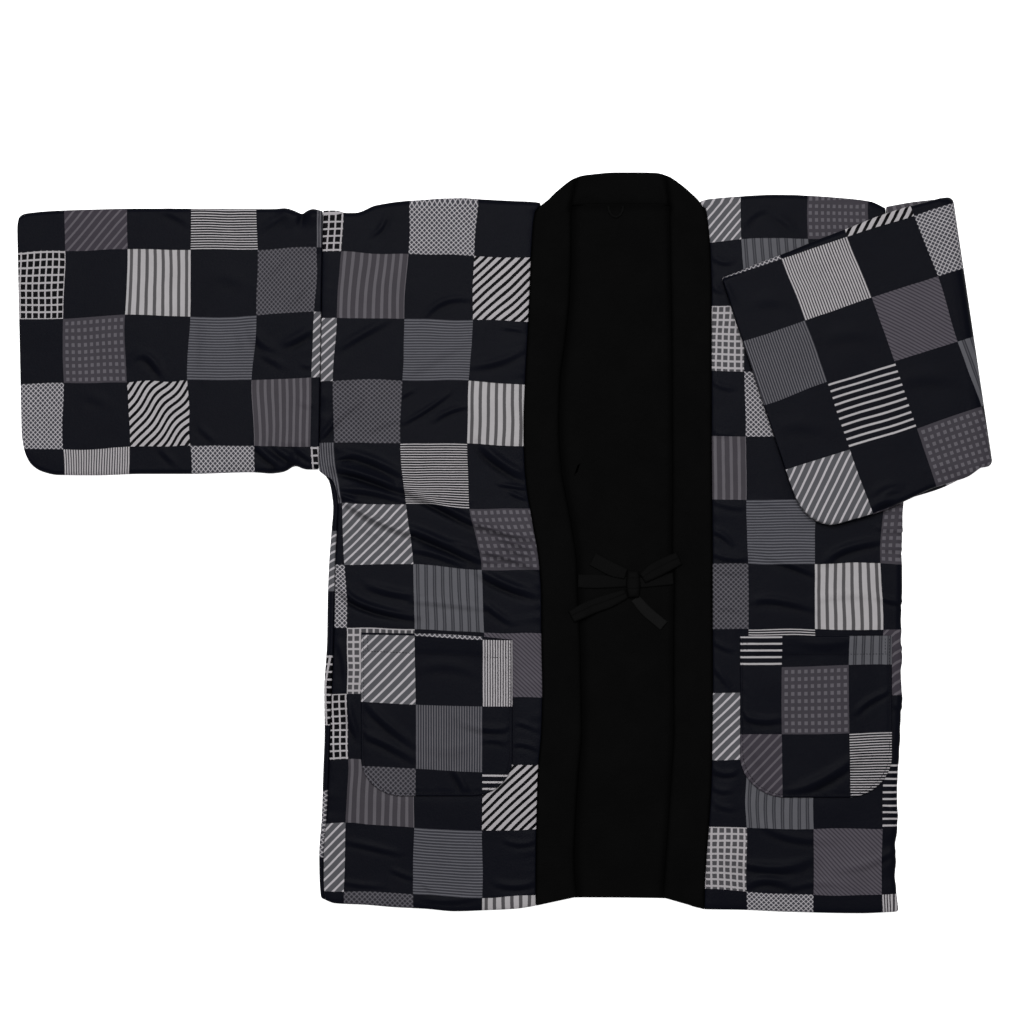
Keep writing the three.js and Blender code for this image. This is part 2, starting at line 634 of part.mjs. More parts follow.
function ties() {
	const flat = BODY_TOP + GAP + TIE / 2;
	const tail = BODY_TOP + GAP + TAIL_HALF;
	const loop = BODY_TOP + GAP + LOOP_TIE / 2;
	const overCollar = COLLAR_MID + COLLAR / 2 + GAP + LOOP_TIE / 2;
	const overTie = flat + TIE / 2 + GAP + LOOP_TIE / 2;
	const [knotRight, knotLeft] = [KNOT.x - KNOT.width / 2, KNOT.x + KNOT.width / 2];
	const lay = (name, half, values) => ribbon(name, rows(['x', 'y', 'width', 'mid'], values), half);
	lay('tie_right', TIE / 2, [
		[81.4, -43.6, 15, flat],
		[100, -44.0, 16, flat],
		[118, -44.4, 14, flat],
		[knotRight + 0.9, -44.6, 11, flat],
	]);
	lay('tie_left', TIE / 2, [
		[188.6, -40.6, 14, flat],
		[174, -42.2, 14, flat],
		[knotLeft - 0.9, -45.6, 12, flat],
	]);
	lay('bow_loop_upper', LOOP_TIE / 2, [
		[knotLeft + 2.6, -40.6, 12, overTie],
		[165, -33, 17, overTie],
		[180, -25, 17.5, overCollar],
		[195, -18, 15, overCollar],
	]);
	lay('bow_loop_lower', LOOP_TIE / 2, [
		[knotRight + 0.4, -57.6, 11, loop],
		[118, -65, 16, loop],
		[97, -72.5, 16.5, loop + 3],
		[84, -78.5, 16, overCollar],
		[74, -83.5, 14, overCollar],
	]);
	lay('bow_tail_upper', TAIL_HALF, [
		[knotRight - 0.2, -35.8, 12, overTie - 1.2],
		[122, -31.5, 15.5, tail + 3],
		[112, -26.6, 15.5, tail],
		[98, -19, 15.5, tail],
	]);
	lay('bow_tail_lower', TAIL_HALF, [
		[KNOT.x + 2, -62.6, 11, tail],
		[157, -76, 12.5, tail],
		[178, -94, 12.5, tail],
	]);
	lay('bow_knot', KNOT.half, [
		[KNOT.x, KNOT.y + KNOT.length / 2, 12, KNOT.mid],
		[KNOT.x, KNOT.y, KNOT.width, KNOT.mid],
		[KNOT.x + 0.6, KNOT.y - KNOT.length / 2, 12, KNOT.mid],
	]);
}

// A short cord bent to a U, with both ends in the neck seam.
const HANGER_U = { x: 124, halfWidth: 8.2, depth: 12 };
class UPath extends THREE.Curve {
	getPoint(t) {
		const angle = Math.PI * (1 - t);
		return new THREE.Vector3(
			HANGER_U.x + HANGER_U.halfWidth * Math.cos(angle) - CENTRE.x,
			NECKLINE + 0.2 - HANGER_U.depth * Math.sin(angle) - CENTRE.y,
			BODY_TOP + GAP + HANGER / 2,
		);
	}
}

function hangerLoop() {
	const section = new THREE.Shape();
	section.absarc(0, 0, HANGER / 2, 0, 2 * Math.PI, false);
	const geometry = new THREE.ExtrudeGeometry(section, {
		extrudePath: new UPath(),
		steps: 14,
		curveSegments: 4,
		bevelEnabled: false,
	});
	const mesh = new THREE.Mesh(geometry, new THREE.MeshStandardMaterial(COLOURS.fleece));
	mesh.name = 'hanger_loop';
	garment.add(mesh);
}

back();
backLining();
fronts();
sleeveRight();
sleeveLeft();
collar();
pockets();
ties();
hangerLoop();

export default garment;
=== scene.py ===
"""A hanten jacket laid flat: padded printed cloth with a black fleece lining, collar and ties.

Lengths are millimetres until a mesh is made, and then metres. "Right" and "left" are the wearer's.
"""
import math

import bpy
import numpy as np
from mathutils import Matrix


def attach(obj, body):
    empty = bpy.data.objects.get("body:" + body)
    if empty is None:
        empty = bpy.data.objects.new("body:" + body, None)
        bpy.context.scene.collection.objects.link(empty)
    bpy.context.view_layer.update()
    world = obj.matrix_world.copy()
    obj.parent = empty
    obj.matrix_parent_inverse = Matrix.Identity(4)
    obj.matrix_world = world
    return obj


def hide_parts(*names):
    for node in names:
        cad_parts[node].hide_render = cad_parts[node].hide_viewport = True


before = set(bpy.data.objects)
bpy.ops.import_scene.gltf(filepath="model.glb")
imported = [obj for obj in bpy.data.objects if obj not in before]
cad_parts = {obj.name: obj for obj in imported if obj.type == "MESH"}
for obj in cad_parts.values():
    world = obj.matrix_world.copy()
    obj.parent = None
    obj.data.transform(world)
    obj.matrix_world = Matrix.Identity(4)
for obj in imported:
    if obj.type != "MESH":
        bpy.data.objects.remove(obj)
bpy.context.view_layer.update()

# ---------- sizes, as in the solids ----------
MM = 0.001
CENTRE = np.array([-0.69, -0.55])      # middle of the outline, in the tables' own coordinates
WALL = 6.0                             # thickness of a padded layer, and of the others in turn
LINING = 2.0
COLLAR = 6.8
POCKET = 2.6
TIE = 3.4
LOOP_TIE = 5.4
GAP = 0.3                              # left between pieces that lie on each other
SQUARE = 75.04                         # one square of the print where nothing pulls it
HALF = WALL / 2
BACK_MID = HALF
LINING_MID = WALL + GAP + LINING / 2
BODY_TOP = WALL + GAP + LINING
FRONT_MID = BODY_TOP + GAP + HALF
COLLAR_MID = BODY_TOP + GAP + COLLAR / 2
ROLL = (FRONT_MID - BACK_MID) / 2      # radius of the middle of cloth that turns over an edge
TURN = ROLL + HALF                     # and of its outer face
QUARTER = math.pi / 2 - GAP / 2 / ROLL
FOLD_Z = FRONT_MID + HALF + GAP
UNDERARM_RIGHT = 80.0
UNDERARM_LEFT = 46.0
NECK_FROM, NECK_TO = 30, 226           # the shoulder fold leaves this stretch across for the neck

# ---------- tables of the outline ----------
# Right half of the body: y, outline, side seam, collar's outer edge, collar's inner edge.
RIGHT = np.array([
    [-406.6, -205.5, -200.9, 34.5, 81.8], [-378.6, -207.8, -202.9, 34.5, 78.4],
    [-350.6, -208.3, -202.9, 34.7, 77.3], [-303.5, -205.2, -199.4, 35.6, 79.3],
    [-258.7, -203.8, -197.1, 37.0, 82.3], [-210.6, -202.2, -195.4, 40.9, 85.9],
    [-165.8, -202.7, -193.8, 41.9, 85.1], [-109.8, -199.4, -191.5, 40.9, 84.0],
    [-62.7, -198.8, -190.4, 40.8, 81.4], [-22.4, -197.1, -189.8, 38.1, 80.1],
    [15.7, -194.2, -187.6, 31.9, 75.0], [38.1, -192.6, -186.5, 28.0, 71.0],
    [56.0, -194.5, -188.4, 24.9, 67.4], [69.4, -197.7, -193.4, 23.5, 65.0],
    [80.6, -208.3, -208.0, 22.3, 63.3], [132.2, -207.5, -207.3, 20.9, 60.3],
    [181.4, -206.8, -206.6, 22.7, 61.9], [226.2, -206.1, -205.9, 25.2, 67.5],
    [271.0, -205.4, -205.2, 27.2, 72.0], [327.0, -204.5, -204.3, 29.7, 73.9],
    [368.0, -203.8, -203.6, 33.4, 73.9], [381.0, -203.6, -203.4, 44.0, 74.5],
])
# Left half of the body: y, collar's outer edge, collar's inner edge, outline.
LEFT = np.array([
    [-413.3, 222.9, 178.1, 440.8], [-389.8, 223.4, 177.3, 438.4], [-359.5, 224.9, 179.2, 437.1],
    [-322.6, 227.7, 182.0, 438.4], [-266.6, 230.9, 185.7, 440.0], [-210.6, 232.1, 188.5, 442.7],
    [-173.6, 232.4, 188.5, 443.4], [-109.8, 232.2, 188.4, 443.5], [-39.2, 232.1, 189.3, 444.0],
    [-4.5, 232.1, 186.7, 444.4], [33.6, 231.8, 187.0, 445.5], [49.3, 231.7, 187.3, 446.8],
    [132.2, 231.1, 187.0, 441.4], [200.5, 231.1, 186.7, 437.0], [268.8, 231.1, 185.9, 432.5],
    [327.0, 229.6, 184.8, 428.8], [360.0, 226.6, 184.2, 426.7], [373.0, 224.6, 183.9, 425.8],
])
# Height of the shoulder fold and of the hem across the body: x, y.
SHOULDER = np.array([
    [-203.8, 371.8], [-189.3, 371.6], [-177.0, 368.6], [-166.9, 369.0], [-144.5, 377.4],
    [-99.7, 383.0], [-54.9, 385.3], [-10.1, 383.0], [34.7, 380.8], [60.0, 376.0], [200.0, 376.0],
    [224.0, 384.2], [258.7, 387.5], [303.5, 389.8], [370.7, 386.4], [408.8, 381.9], [425.6, 375.2],
])
NECKLINE = 376.0
HEM = np.array([
    [-205.0, -398.7], [-190.4, -404.3], [-156.8, -406.0], [-123.2, -408.8], [-89.6, -410.5],
    [-56.0, -413.3], [-22.4, -412.2], [11.2, -410.5], [34.7, -407.0], [81.8, -397.6],
    [178.0, -398.5], [222.9, -411.0], [263.2, -411.6], [313.6, -413.8], [397.6, -415.5],
    [439.0, -413.8],
])
# Sleeves, section by section: a point of the upper edge, then one of the lower edge.
SLEEVE_RIGHT = np.array([
    [-546.0, 353.9, -541.0, 118.7], [-544.3, 362.9, -537.6, 100.8], [-538.7, 367.4, -530.9, 87.4],
    [-528.6, 369.0, -518.6, 79.0], [-509.6, 370.7, -500.6, 75.0], [-464.8, 372.4, -459.2, 74.5],
    [-408.8, 373.5, -405.4, 76.2], [-352.8, 373.5, -350.6, 76.2], [-296.8, 373.0, -296.8, 77.8],
    [-252.0, 373.0, -252.0, 78.4], [-229.6, 369.6, -231.8, 82.9], [-216.2, 370.7, -220.6, 81.0],
    [-204.4, 370.2, -208.9, 81.0],
])
SLEEVE_LEFT_ROOT = np.array([
    [426.6, 375.6, 447.8, 47.6], [455.8, 380.8, 489.4, 60.5], [486.1, 384.2, 530.9, 82.9],
])
SLEEVE_LEFT_RETURN = np.array([
    [486.1, 384.2, 530.9, 82.9], [455.8, 376.3, 516.3, 72.8], [420.0, 365.1, 496.2, 66.1],
    [384.2, 351.1, 476.0, 59.4], [349.4, 337.7, 449.1, 47.0], [313.6, 323.1, 420.0, 34.2],
    [276.6, 309.1, 384.2, 23.0], [259.8, 301.8, 362.9, 19.0], [250.9, 298.5, 345.0, 24.6],
    [245.3, 296.2, 329.3, 40.3], [241.9, 294.6, 318.1, 65.0],
])
# Neck stretch of the collar: outer point, inner point, height of its middle.
NECK = np.array([
    [46.2, 381.4, 75.0, 376.6, 12.0], [57.1, 392.0, 75.6, 376.7, 12.0],
    [76.2, 406.6, 77.4, 376.7, 11.0], [87.0, 410.6, 88.0, 376.5, 7.4],
    [97.4, 412.2, 98.6, 376.4, 4.6], [124.3, 414.4, 124.3, 376.4, 3.6],
    [151.2, 414.4, 151.2, 376.4, 3.6], [169.1, 413.8, 168.0, 376.5, 4.6],
    [183.7, 409.4, 181.0, 376.7, 9.0], [191.5, 404.3, 182.9, 376.8, 11.5],
    [206.1, 392.6, 184.2, 376.8, 12.0], [219.6, 378.4, 184.4, 376.2, 12.0],
])


# ---------- curves and noise ----------
def smooth(xs, ys):
    """A curve through the points with no overshoot between them; it stays level outside them."""
    xs = np.asarray(xs, float)
    ys = np.asarray(ys, float)
    if xs[0] > xs[-1]:
        xs, ys = xs[::-1], ys[::-1]
    step = np.diff(xs)
    shape = (len(step),) + (1,) * (ys.ndim - 1)
    step_column = step.reshape(shape)
    slope = np.diff(ys, axis=0) / step_column
    tangent = np.zeros_like(ys)
    tangent[0], tangent[-1] = slope[0], slope[-1]
    before, after = slope[:-1], slope[1:]
    weight_a = 2 * step_column[1:] + step_column[:-1]
    weight_b = step_column[1:] + 2 * step_column[:-1]
    same_way = before * after > 0
    safe_before = np.where(same_way, before, 1.0)
    safe_after = np.where(same_way, after, 1.0)
    harmonic = (weight_a + weight_b) / (weight_a / safe_before + weight_b / safe_after)
    tangent[1:-1] = np.where(same_way, harmonic, 0.0)

    def read(at):
        at = np.clip(np.asarray(at, float), xs[0], xs[-1])
        k = np.clip(np.searchsorted(xs, at, side="right") - 1, 0, len(step) - 1)
        t = (at - xs[k]) / step[k]
        width = step[k]
        if ys.ndim > 1:
            t = t[..., None]
            width = width[..., None]
        rest = 1 - t
        return (
            (1 + 2 * t) * rest**2 * ys[k]
            + t * rest**2 * width * tangent[k]
            + t**2 * (3 - 2 * t) * ys[k + 1]
            - t**2 * rest * width * tangent[k + 1]
        )

    return read


def number_line(marks, first):
    """A scale with the numbers first, first + 1, ... at the marks, carried on evenly past both ends."""
    marks = np.asarray(marks, float)

    def read(at):
        total = np.full(np.shape(at), float(first))
        last = len(marks) - 2
        for k in range(last + 1):
            low = -np.inf if k == 0 else 0.0
            high = np.inf if k == last else 1.0
            total = total + np.clip((at - marks[k]) / (marks[k + 1] - marks[k]), low, high)
        return total

    return read


def noise(x, y, seed):
    """Smooth noise between about -1 and 1, with about one bump a unit."""
    values = np.random.default_rng(seed).uniform(-1, 1, (64, 64))
    total = 0.0
    for turn, offset in ((0.5, 0.0), (2.1, 17.3)):
        a = math.cos(turn) * x - math.sin(turn) * y + offset
        b = math.sin(turn) * x + math.cos(turn) * y + offset
        i = np.floor(a).astype(int)
        j = np.floor(b).astype(int)
        s = a - i
        t = b - j
        s = s * s * (3 - 2 * s)
        t = t * t * (3 - 2 * t)
        near = values[i % 64, j % 64] * (1 - s) + values[(i + 1) % 64, j % 64] * s
        far = values[i % 64, (j + 1) % 64] * (1 - s) + values[(i + 1) % 64, (j + 1) % 64] * s
        total = total + near * (1 - t) + far * t
    return total * 0.7


def step_up(value, low, high):
    """Nothing below low, one above high, and smooth between them."""
    t = np.clip((value - low) / (high - low), 0, 1)
    return t * t * (3 - 2 * t)


def share(inset, half):
    """How full a rounded edge is at some distance in from it."""
    return np.sqrt(1 - (1 - np.clip(inset / half, 0, 1)) ** 2)


# ---------- creases ----------
def crease_height(x, y, crease):
    """A soft ridge along a bent line, with a trough on its right-hand side, and the print it takes up."""
    x0, y0, bend_x, bend_y, x1, y1, height, width, trough = crease
    total = np.zeros((3,) + np.shape(x))
    reach = 30 + 4 * width
    near = (x > min(x0, bend_x, x1) - reach) & (x < max(x0, bend_x, x1) + reach)
    near &= (y > min(y0, bend_y, y1) - reach) & (y < max(y0, bend_y, y1) + reach)
    if not near.any():
        return total
    px, py = x[near], y[near]
    t = np.linspace(0, 1, 17)
    line_x = (1 - t) ** 2 * x0 + 2 * t * (1 - t) * bend_x + t**2 * x1
    line_y = (1 - t) ** 2 * y0 + 2 * t * (1 - t) * bend_y + t**2 * y1
    best = np.full(px.shape, np.inf)
    side = np.zeros(px.shape)
    along = np.zeros(px.shape)
    for k in range(16):
        dx, dy = line_x[k + 1] - line_x[k], line_y[k + 1] - line_y[k]
        s = np.clip(((px - line_x[k]) * dx + (py - line_y[k]) * dy) / (dx * dx + dy * dy), 0, 1)
        off_x, off_y = px - line_x[k] - s * dx, py - line_y[k] - s * dy
        away = np.hypot(off_x, off_y)
        closer = away < best
        best = np.where(closer, away, best)
        side = np.where(closer, np.sign(dx * off_y - dy * off_x) * away, side)
        along = np.where(closer, (k + s) / 16, along)
    taper = np.sin(math.pi * np.clip(0.06 + 0.88 * along, 0, 1)) ** 0.8
    past_end = np.sqrt(np.maximum(best**2 - side**2, 0))
    fade = taper * np.exp(-((past_end / width) ** 2))
    ridge = np.exp(-((side / width) ** 2))
    ditch = np.exp(-(((side + 1.5 * width) / (0.9 * width)) ** 2))
    total[0][near] = height * fade * (ridge - trough * ditch)
    taken = 0.55 * height**2 / width * taper * np.exp(-best / 22) * np.tanh(side / width)
    length = math.hypot(x1 - x0, y1 - y0)
    total[1][near] = -taken * (y1 - y0) / length
    total[2][near] = taken * (x1 - x0) / length
    return total


def creases(x, y, table):
    """The height of all the creases of a table together, and how far they shift the print."""
    return sum(crease_height(x, y, row) for row in table)


def in_trough(crease):
    """How deep in a crease's trough the cloth lies, from 0 to 1, which sets how much painted shade it gets.
    """
    return np.clip(-crease / 1.5, 0, 1)


def print_drift(x, y, seed, amount=1.3):
    """How far the print wanders where the padding lies uneven under it."""
    over = noise(x / 40, y / 40, seed) + 0.15 * noise(x / 18, y / 18, seed + 2)
    along = noise(x / 40, y / 40, seed + 1) + 0.15 * noise(x / 18, y / 18, seed + 3)
    return amount * over, amount * along


def pucker(along, away, seed, height=0.8, pitch=7.0, reach=13.0):
    """Short gathers that stand across a seam and die out away from it."""
    uneven = 0.55 + 0.45 * noise(along / 60, away * 0, seed + 1)
    wave = noise(along / pitch + 0.15 * away / pitch, away / 60, seed)
    return height * uneven * wave * np.exp(-np.maximum(away, 0) / reach)


def seam_ditch(away, depth=1.5, width=6.0):
    """The soft valley of a seam in padded cloth."""
    return -depth * np.exp(-((away / width) ** 2))


# Creases of each piece: start, bend and end of a line, height, half width, share of trough beside it.
FRONT_RIGHT_CREASES = [
    (-175, -175, -176, -197, -162, -220, 2.0, 3.6, 0.7),
    (-187, -110, -178, -130, -178, -159, 1.0, 3.4, 0.5),
    (-185, 103, -148, 96, -115, 76, 2.4, 4.6, 0.7),
    (-187, 83, -160, 79, -115, 59, 3.4, 4.2, 0.9),
    (-187, 59, -161, 63, -113, 48, 1.8, 4.0, 0.6),
    (-188, 94, -181, 97, -171, 96, 1.6, 2.6, 0.6),
    (-189, 54, -178, 51, -167, 46, 2.2, 2.6, 0.7),
    (-115, 63, -76, 45, -32, 21, 3.4, 4.2, 0.8),
    (-39, 24, -4, 11, 26, 4, 2.9, 2.8, 0.8),
    (-10, 6, 12, 0, 35, -10, 2.2, 2.4, 0.7),
    (-30, -8, -1, -15, 37, -29, 2.6, 2.6, 0.8),
    (-6, -4, 14, -11, 36, -18, 1.9, 2.2, 0.7),
    (-26, -20, -7, -23, 17, -28, 0.9, 2.0, 0.6),
    (-113, 18, -81, 6, -26, -20, 3.2, 4.6, 0.8),
    (-102, -8, -84, -9, -48, -24, 1.5, 3.6, 0.6),
    (-62, 1, -45, -2, -32, -10, 1.0, 3.0, 0.6),
    (-180, 47, -148, 23, -105, 10, 3.4, 2.8, 0.9),
    (-167, 20, -139, 7, -115, -7, 0.9, 2.6, 0.5),
    (-180, -49, -179, -71, -102, -83, 3.2, 3.6, 0.8),
    (-153, -47, -131, -57, -100, -59, 1.6, 4.4, 0.6),
    (-106, -65, -68, -67, -21, -74, 1.3, 3.0, 0.7),
    (-28, -31, -1, -49, 35, -58, 2.7, 4.6, 0.7),
    (-26, -65, -7, -82, 8, -90, 1.6, 3.6, 0.6),
    (-24, 108, -10, 91, 25, 73, 2.6, 5.0, 0.7),
    (-7, 65, 6, 63, 26, 60, 1.3, 2.2, 0.7),
    (6, 56, 13, 52, 26, 47, 1.2, 2.2, 0.7),
    (-113, 66, -83, 59, -39, 45, 1.0, 4.0, 0.5),
    (10, 11, 20, 7, 35, 1, 0.8, 1.8, 0.6),
    (-149, 343, -137, 349, -133, 366, 1.2, 2.6, 0.6),
    (-91, 251, -73, 278, -37, 272, 1.3, 3.6, 0.6),
    (-187, 216, -166, 231, -131, 249, 1.3, 4.4, 0.5),
    (-115, 184, -90, 202, -41, 228, 0.8, 4.0, 0.5),
    (-37, 197, -8, 199, 21, 215, 1.4, 4.2, 0.5),
    (-3, 240, 10, 240, 24, 235, 1.0, 2.4, 0.6),
    (-115, 133, -93, 143, -62, 167, 1.5, 2.4, 0.7),
    (-80, 136, -63, 150, -41, 152, 1.4, 2.8, 0.7),
    (-118, 160, -114, 166, -102, 170, 1.0, 2.6, 0.6),
    (-192, 132, -184, 144, -162, 158, 1.2, 2.6, 0.6),
    (-153, 124, -137, 133, -115, 139, 0.9, 2.4, 0.6),
    (-209, 115, -197, 125, -189, 141, 1.8, 3.0, 0.6),
    (-178, -334, -150, -340, -118, -348, 1.1, 3.2, 0.6),
    (-127, -366, -118, -370, -100, -377, 1.0, 2.6, 0.6),
    (-93, -380, -87, -385, -77, -392, 1.2, 1.8, 0.7),
    (-1, -333, 17, -342, 35, -333, 1.1, 2.6, 0.6),
    (-10, -381, 12, -388, 35, -380, 1.4, 3.4, 0.6),
    (10, -280, 18, -284, 30, -293, 0.8, 1.8, 0.6),
    (8, -227, 19, -222, 39, -233, 1.4, 2.6, 0.7),
    (12, -202, 21, -202, 39, -211, 1.0, 2.6, 0.6),
    (-171, -258, -170, -292, -174, -314, 0.9, 3.0, 0.5),
    (-91, -399, -62, -404, -32, -398, 0.9, 2.6, 0.5),
    (-183, -379, -166, -384, -136, -385, 0.8, 2.8, 0.5),
]
FRONT_LEFT_CREASES = [
    (265, 351, 278, 376, 298, 371, 0.7, 4.0, 0.6),
    (298, 368, 312, 362, 327, 346, 0.8, 4.0, 0.6),
    (232, -253, 244, -263, 261, -256, 1.5, 2.8, 0.7),
    (232, -273, 240, -280, 252, -278, 1.1, 2.6, 0.6),
    (272, -383, 292, -371, 321, -385, 1.6, 4.0, 0.7),
    (272, -361, 308, -368, 344, -354, 1.2, 5.0, 0.5),
    (232, 320, 243, 310, 254, 314, 1.2, 2.8, 0.6),
    (232, 287, 241, 277, 250, 280, 1.1, 2.6, 0.6),
    (231, 13, 244, 10, 254, -2, 1.8, 2.6, 0.7),
    (231, -11, 248, -21, 272, -18, 1.4, 2.8, 0.6),
    (360, -20, 373, -4, 422, 2, 2.0, 4.2, 0.7),
    (299, -18, 324, -25, 348, -36, 2.0, 3.4, 0.7),
    (279, -66, 290, -58, 346, -74, 1.6, 4.0, 0.7),
    (272, 47, 296, 45, 315, 38, 0.8, 3.0, 0.5),
    (416, 16, 431, 15, 447, 12, 1.3, 2.2, 0.7),
    (418, -9, 430, -3, 447, -11, 1.1, 2.2, 0.6),
    (416, -58, 427, -67, 447, -67, 1.5, 3.0, 0.6),
    (344, -65, 372, -54, 413, -60, 0.9, 3.4, 0.5),
    (234, -76, 244, -68, 268, -78, 1.0, 2.6, 0.6),
    (232, -29, 253, -36, 270, -32, 1.0, 2.2, 0.6),
    (232, -110, 243, -118, 254, -121, 1.2, 2.6, 0.6),
    (234, -141, 243, -148, 252, -164, 1.2, 3.0, 0.6),
    (427, -110, 435, -118, 447, -121, 1.2, 2.4, 0.6),
    (424, -177, 431, -179, 447, -190, 1.2, 2.6, 0.6),
    (232, 47, 250, 38, 268, 39, 0.9, 3.0, 0.5),
    (232, 181, 242, 172, 256, 172, 1.0, 3.0, 0.5),
    (232, 125, 240, 119, 252, 121, 0.9, 2.6, 0.5),
    (286, -314, 314, -336, 364, -332, 1.2, 4.2, 0.6),
    (252, -354, 280, -366, 330, -365, 1.3, 4.2, 0.6),
    (375, -365, 407, -363, 438, -343, 1.2, 3.6, 0.6),
    (319, -388, 353, -375, 386, -385, 0.9, 3.0, 0.5),
    (232, -289, 242, -298, 256, -298, 1.0, 2.8, 0.5),
    (424, -289, 433, -299, 442, -323, 1.2, 3.0, 0.5),
]
SLEEVE_RIGHT_CREASES = [
    (-272, 349, -263, 358, -245, 367, 1.0, 3.2, 0.6),
    (-265, 300, -258, 307, -245, 323, 1.0, 2.6, 0.6),
    (-245, 264, -235, 272, -221, 293, 1.0, 2.6, 0.6),
    (-281, 240, -277, 221, -254, 215, 1.4, 5.0, 0.6),
    (-248, 222, -236, 226, -216, 240, 1.8, 4.4, 0.7),
    (-274, 213, -261, 205, -248, 197, 1.0, 4.0, 0.6),
    (-335, 251, -332, 218, -336, 181, 0.9, 5.0, 0.5),
    (-299, 242, -290, 227, -290, 208, 0.7, 4.0, 0.5),
    (-342, 130, -333, 120, -324, 114, 0.9, 3.4, 0.6),
    (-279, 110, -272, 100, -248, 84, 2.2, 3.6, 0.8),
    (-259, 108, -246, 96, -230, 90, 1.9, 3.2, 0.8),
    (-234, 105, -226, 100, -214, 90, 1.6, 2.8, 0.7),
    (-263, 113, -242, 108, -216, 114, 1.0, 3.0, 0.6),
    (-420, 202, -405, 221, -386, 195, 1.2, 4.6, 0.6),
    (-400, 208, -393, 202, -382, 186, 1.3, 3.6, 0.7),
    (-384, 370, -368, 367, -353, 356, 0.9, 3.6, 0.6),
    (-386, 105, -377, 96, -368, 87, 1.0, 3.4, 0.6),
    (-234, 358, -230, 365, -225, 372, 1.6, 2.6, 0.8),
    (-230, 159, -224, 152, -214, 155, 1.0, 2.6, 0.6),
    (-227, 199, -221, 194, -214, 202, 1.0, 2.6, 0.6),
    (-225, 327, -218, 332, -212, 327, 0.9, 2.4, 0.6),
    (-476, 159, -465, 170, -445, 155, 0.6, 6.0, 0.5),
    (-330, 293, -315, 305, -290, 289, 0.5, 7.0, 0.5),
]
SLEEVE_LEFT_CREASES = [
    (407, 38, 422, 48, 438, 49, 1.8, 3.0, 0.8),
    (420, 49, 428, 58, 440, 58, 1.2, 2.6, 0.7),
    (411, 54, 422, 66, 442, 65, 0.8, 3.6, 0.6),
    (277, 267, 296, 277, 319, 264, 0.6, 7.0, 0.5),
    (353, 226, 389, 243, 416, 228, 0.6, 8.0, 0.5),
    (304, 128, 329, 139, 360, 123, 0.6, 8.0, 0.5),
    (442, 181, 478, 193, 505, 177, 0.6, 8.0, 0.5),
    (476, 81, 495, 92, 528, 76, 0.8, 5.0, 0.6),
    (245, 289, 249, 282, 256, 267, 0.8, 3.0, 0.6),
]
POCKET_CREASES = {
    "right": [
        (-153, -181, -139, -199, -102, -226, 1.6, 4.4, 0.6),
        (-167, -211, -137, -220, -102, -242, 1.5, 4.2, 0.6),
        (-50, -200, -25, -212, 6, -208, 1.5, 3.4, 0.7),
        (-24, -222, -9, -219, 6, -227, 1.0, 2.6, 0.7),
        (-57, -255, -47, -265, -37, -298, 1.6, 3.8, 0.7),
        (-95, -141, -68, -130, -32, -146, 0.6, 6.0, 0.5),
        (-86, -226, -63, -236, -35, -224, 0.7, 5.0, 0.5),
    ],
    "left": [
        (315, -280, 349, -272, 389, -242, 2.2, 5.4, 0.7),
        (265, -193, 283, -202, 310, -197, 1.6, 3.8, 0.7),
        (393, -190, 403, -176, 431, -166, 1.5, 3.2, 0.7),
        (330, -110, 354, -119, 382, -110, 0.7, 5.0, 0.5),
        (281, -235, 291, -246, 297, -267, 0.7, 4.0, 0.5),
        (389, -222, 404, -237, 420, -235, 0.7, 4.0, 0.5),
    ],
}


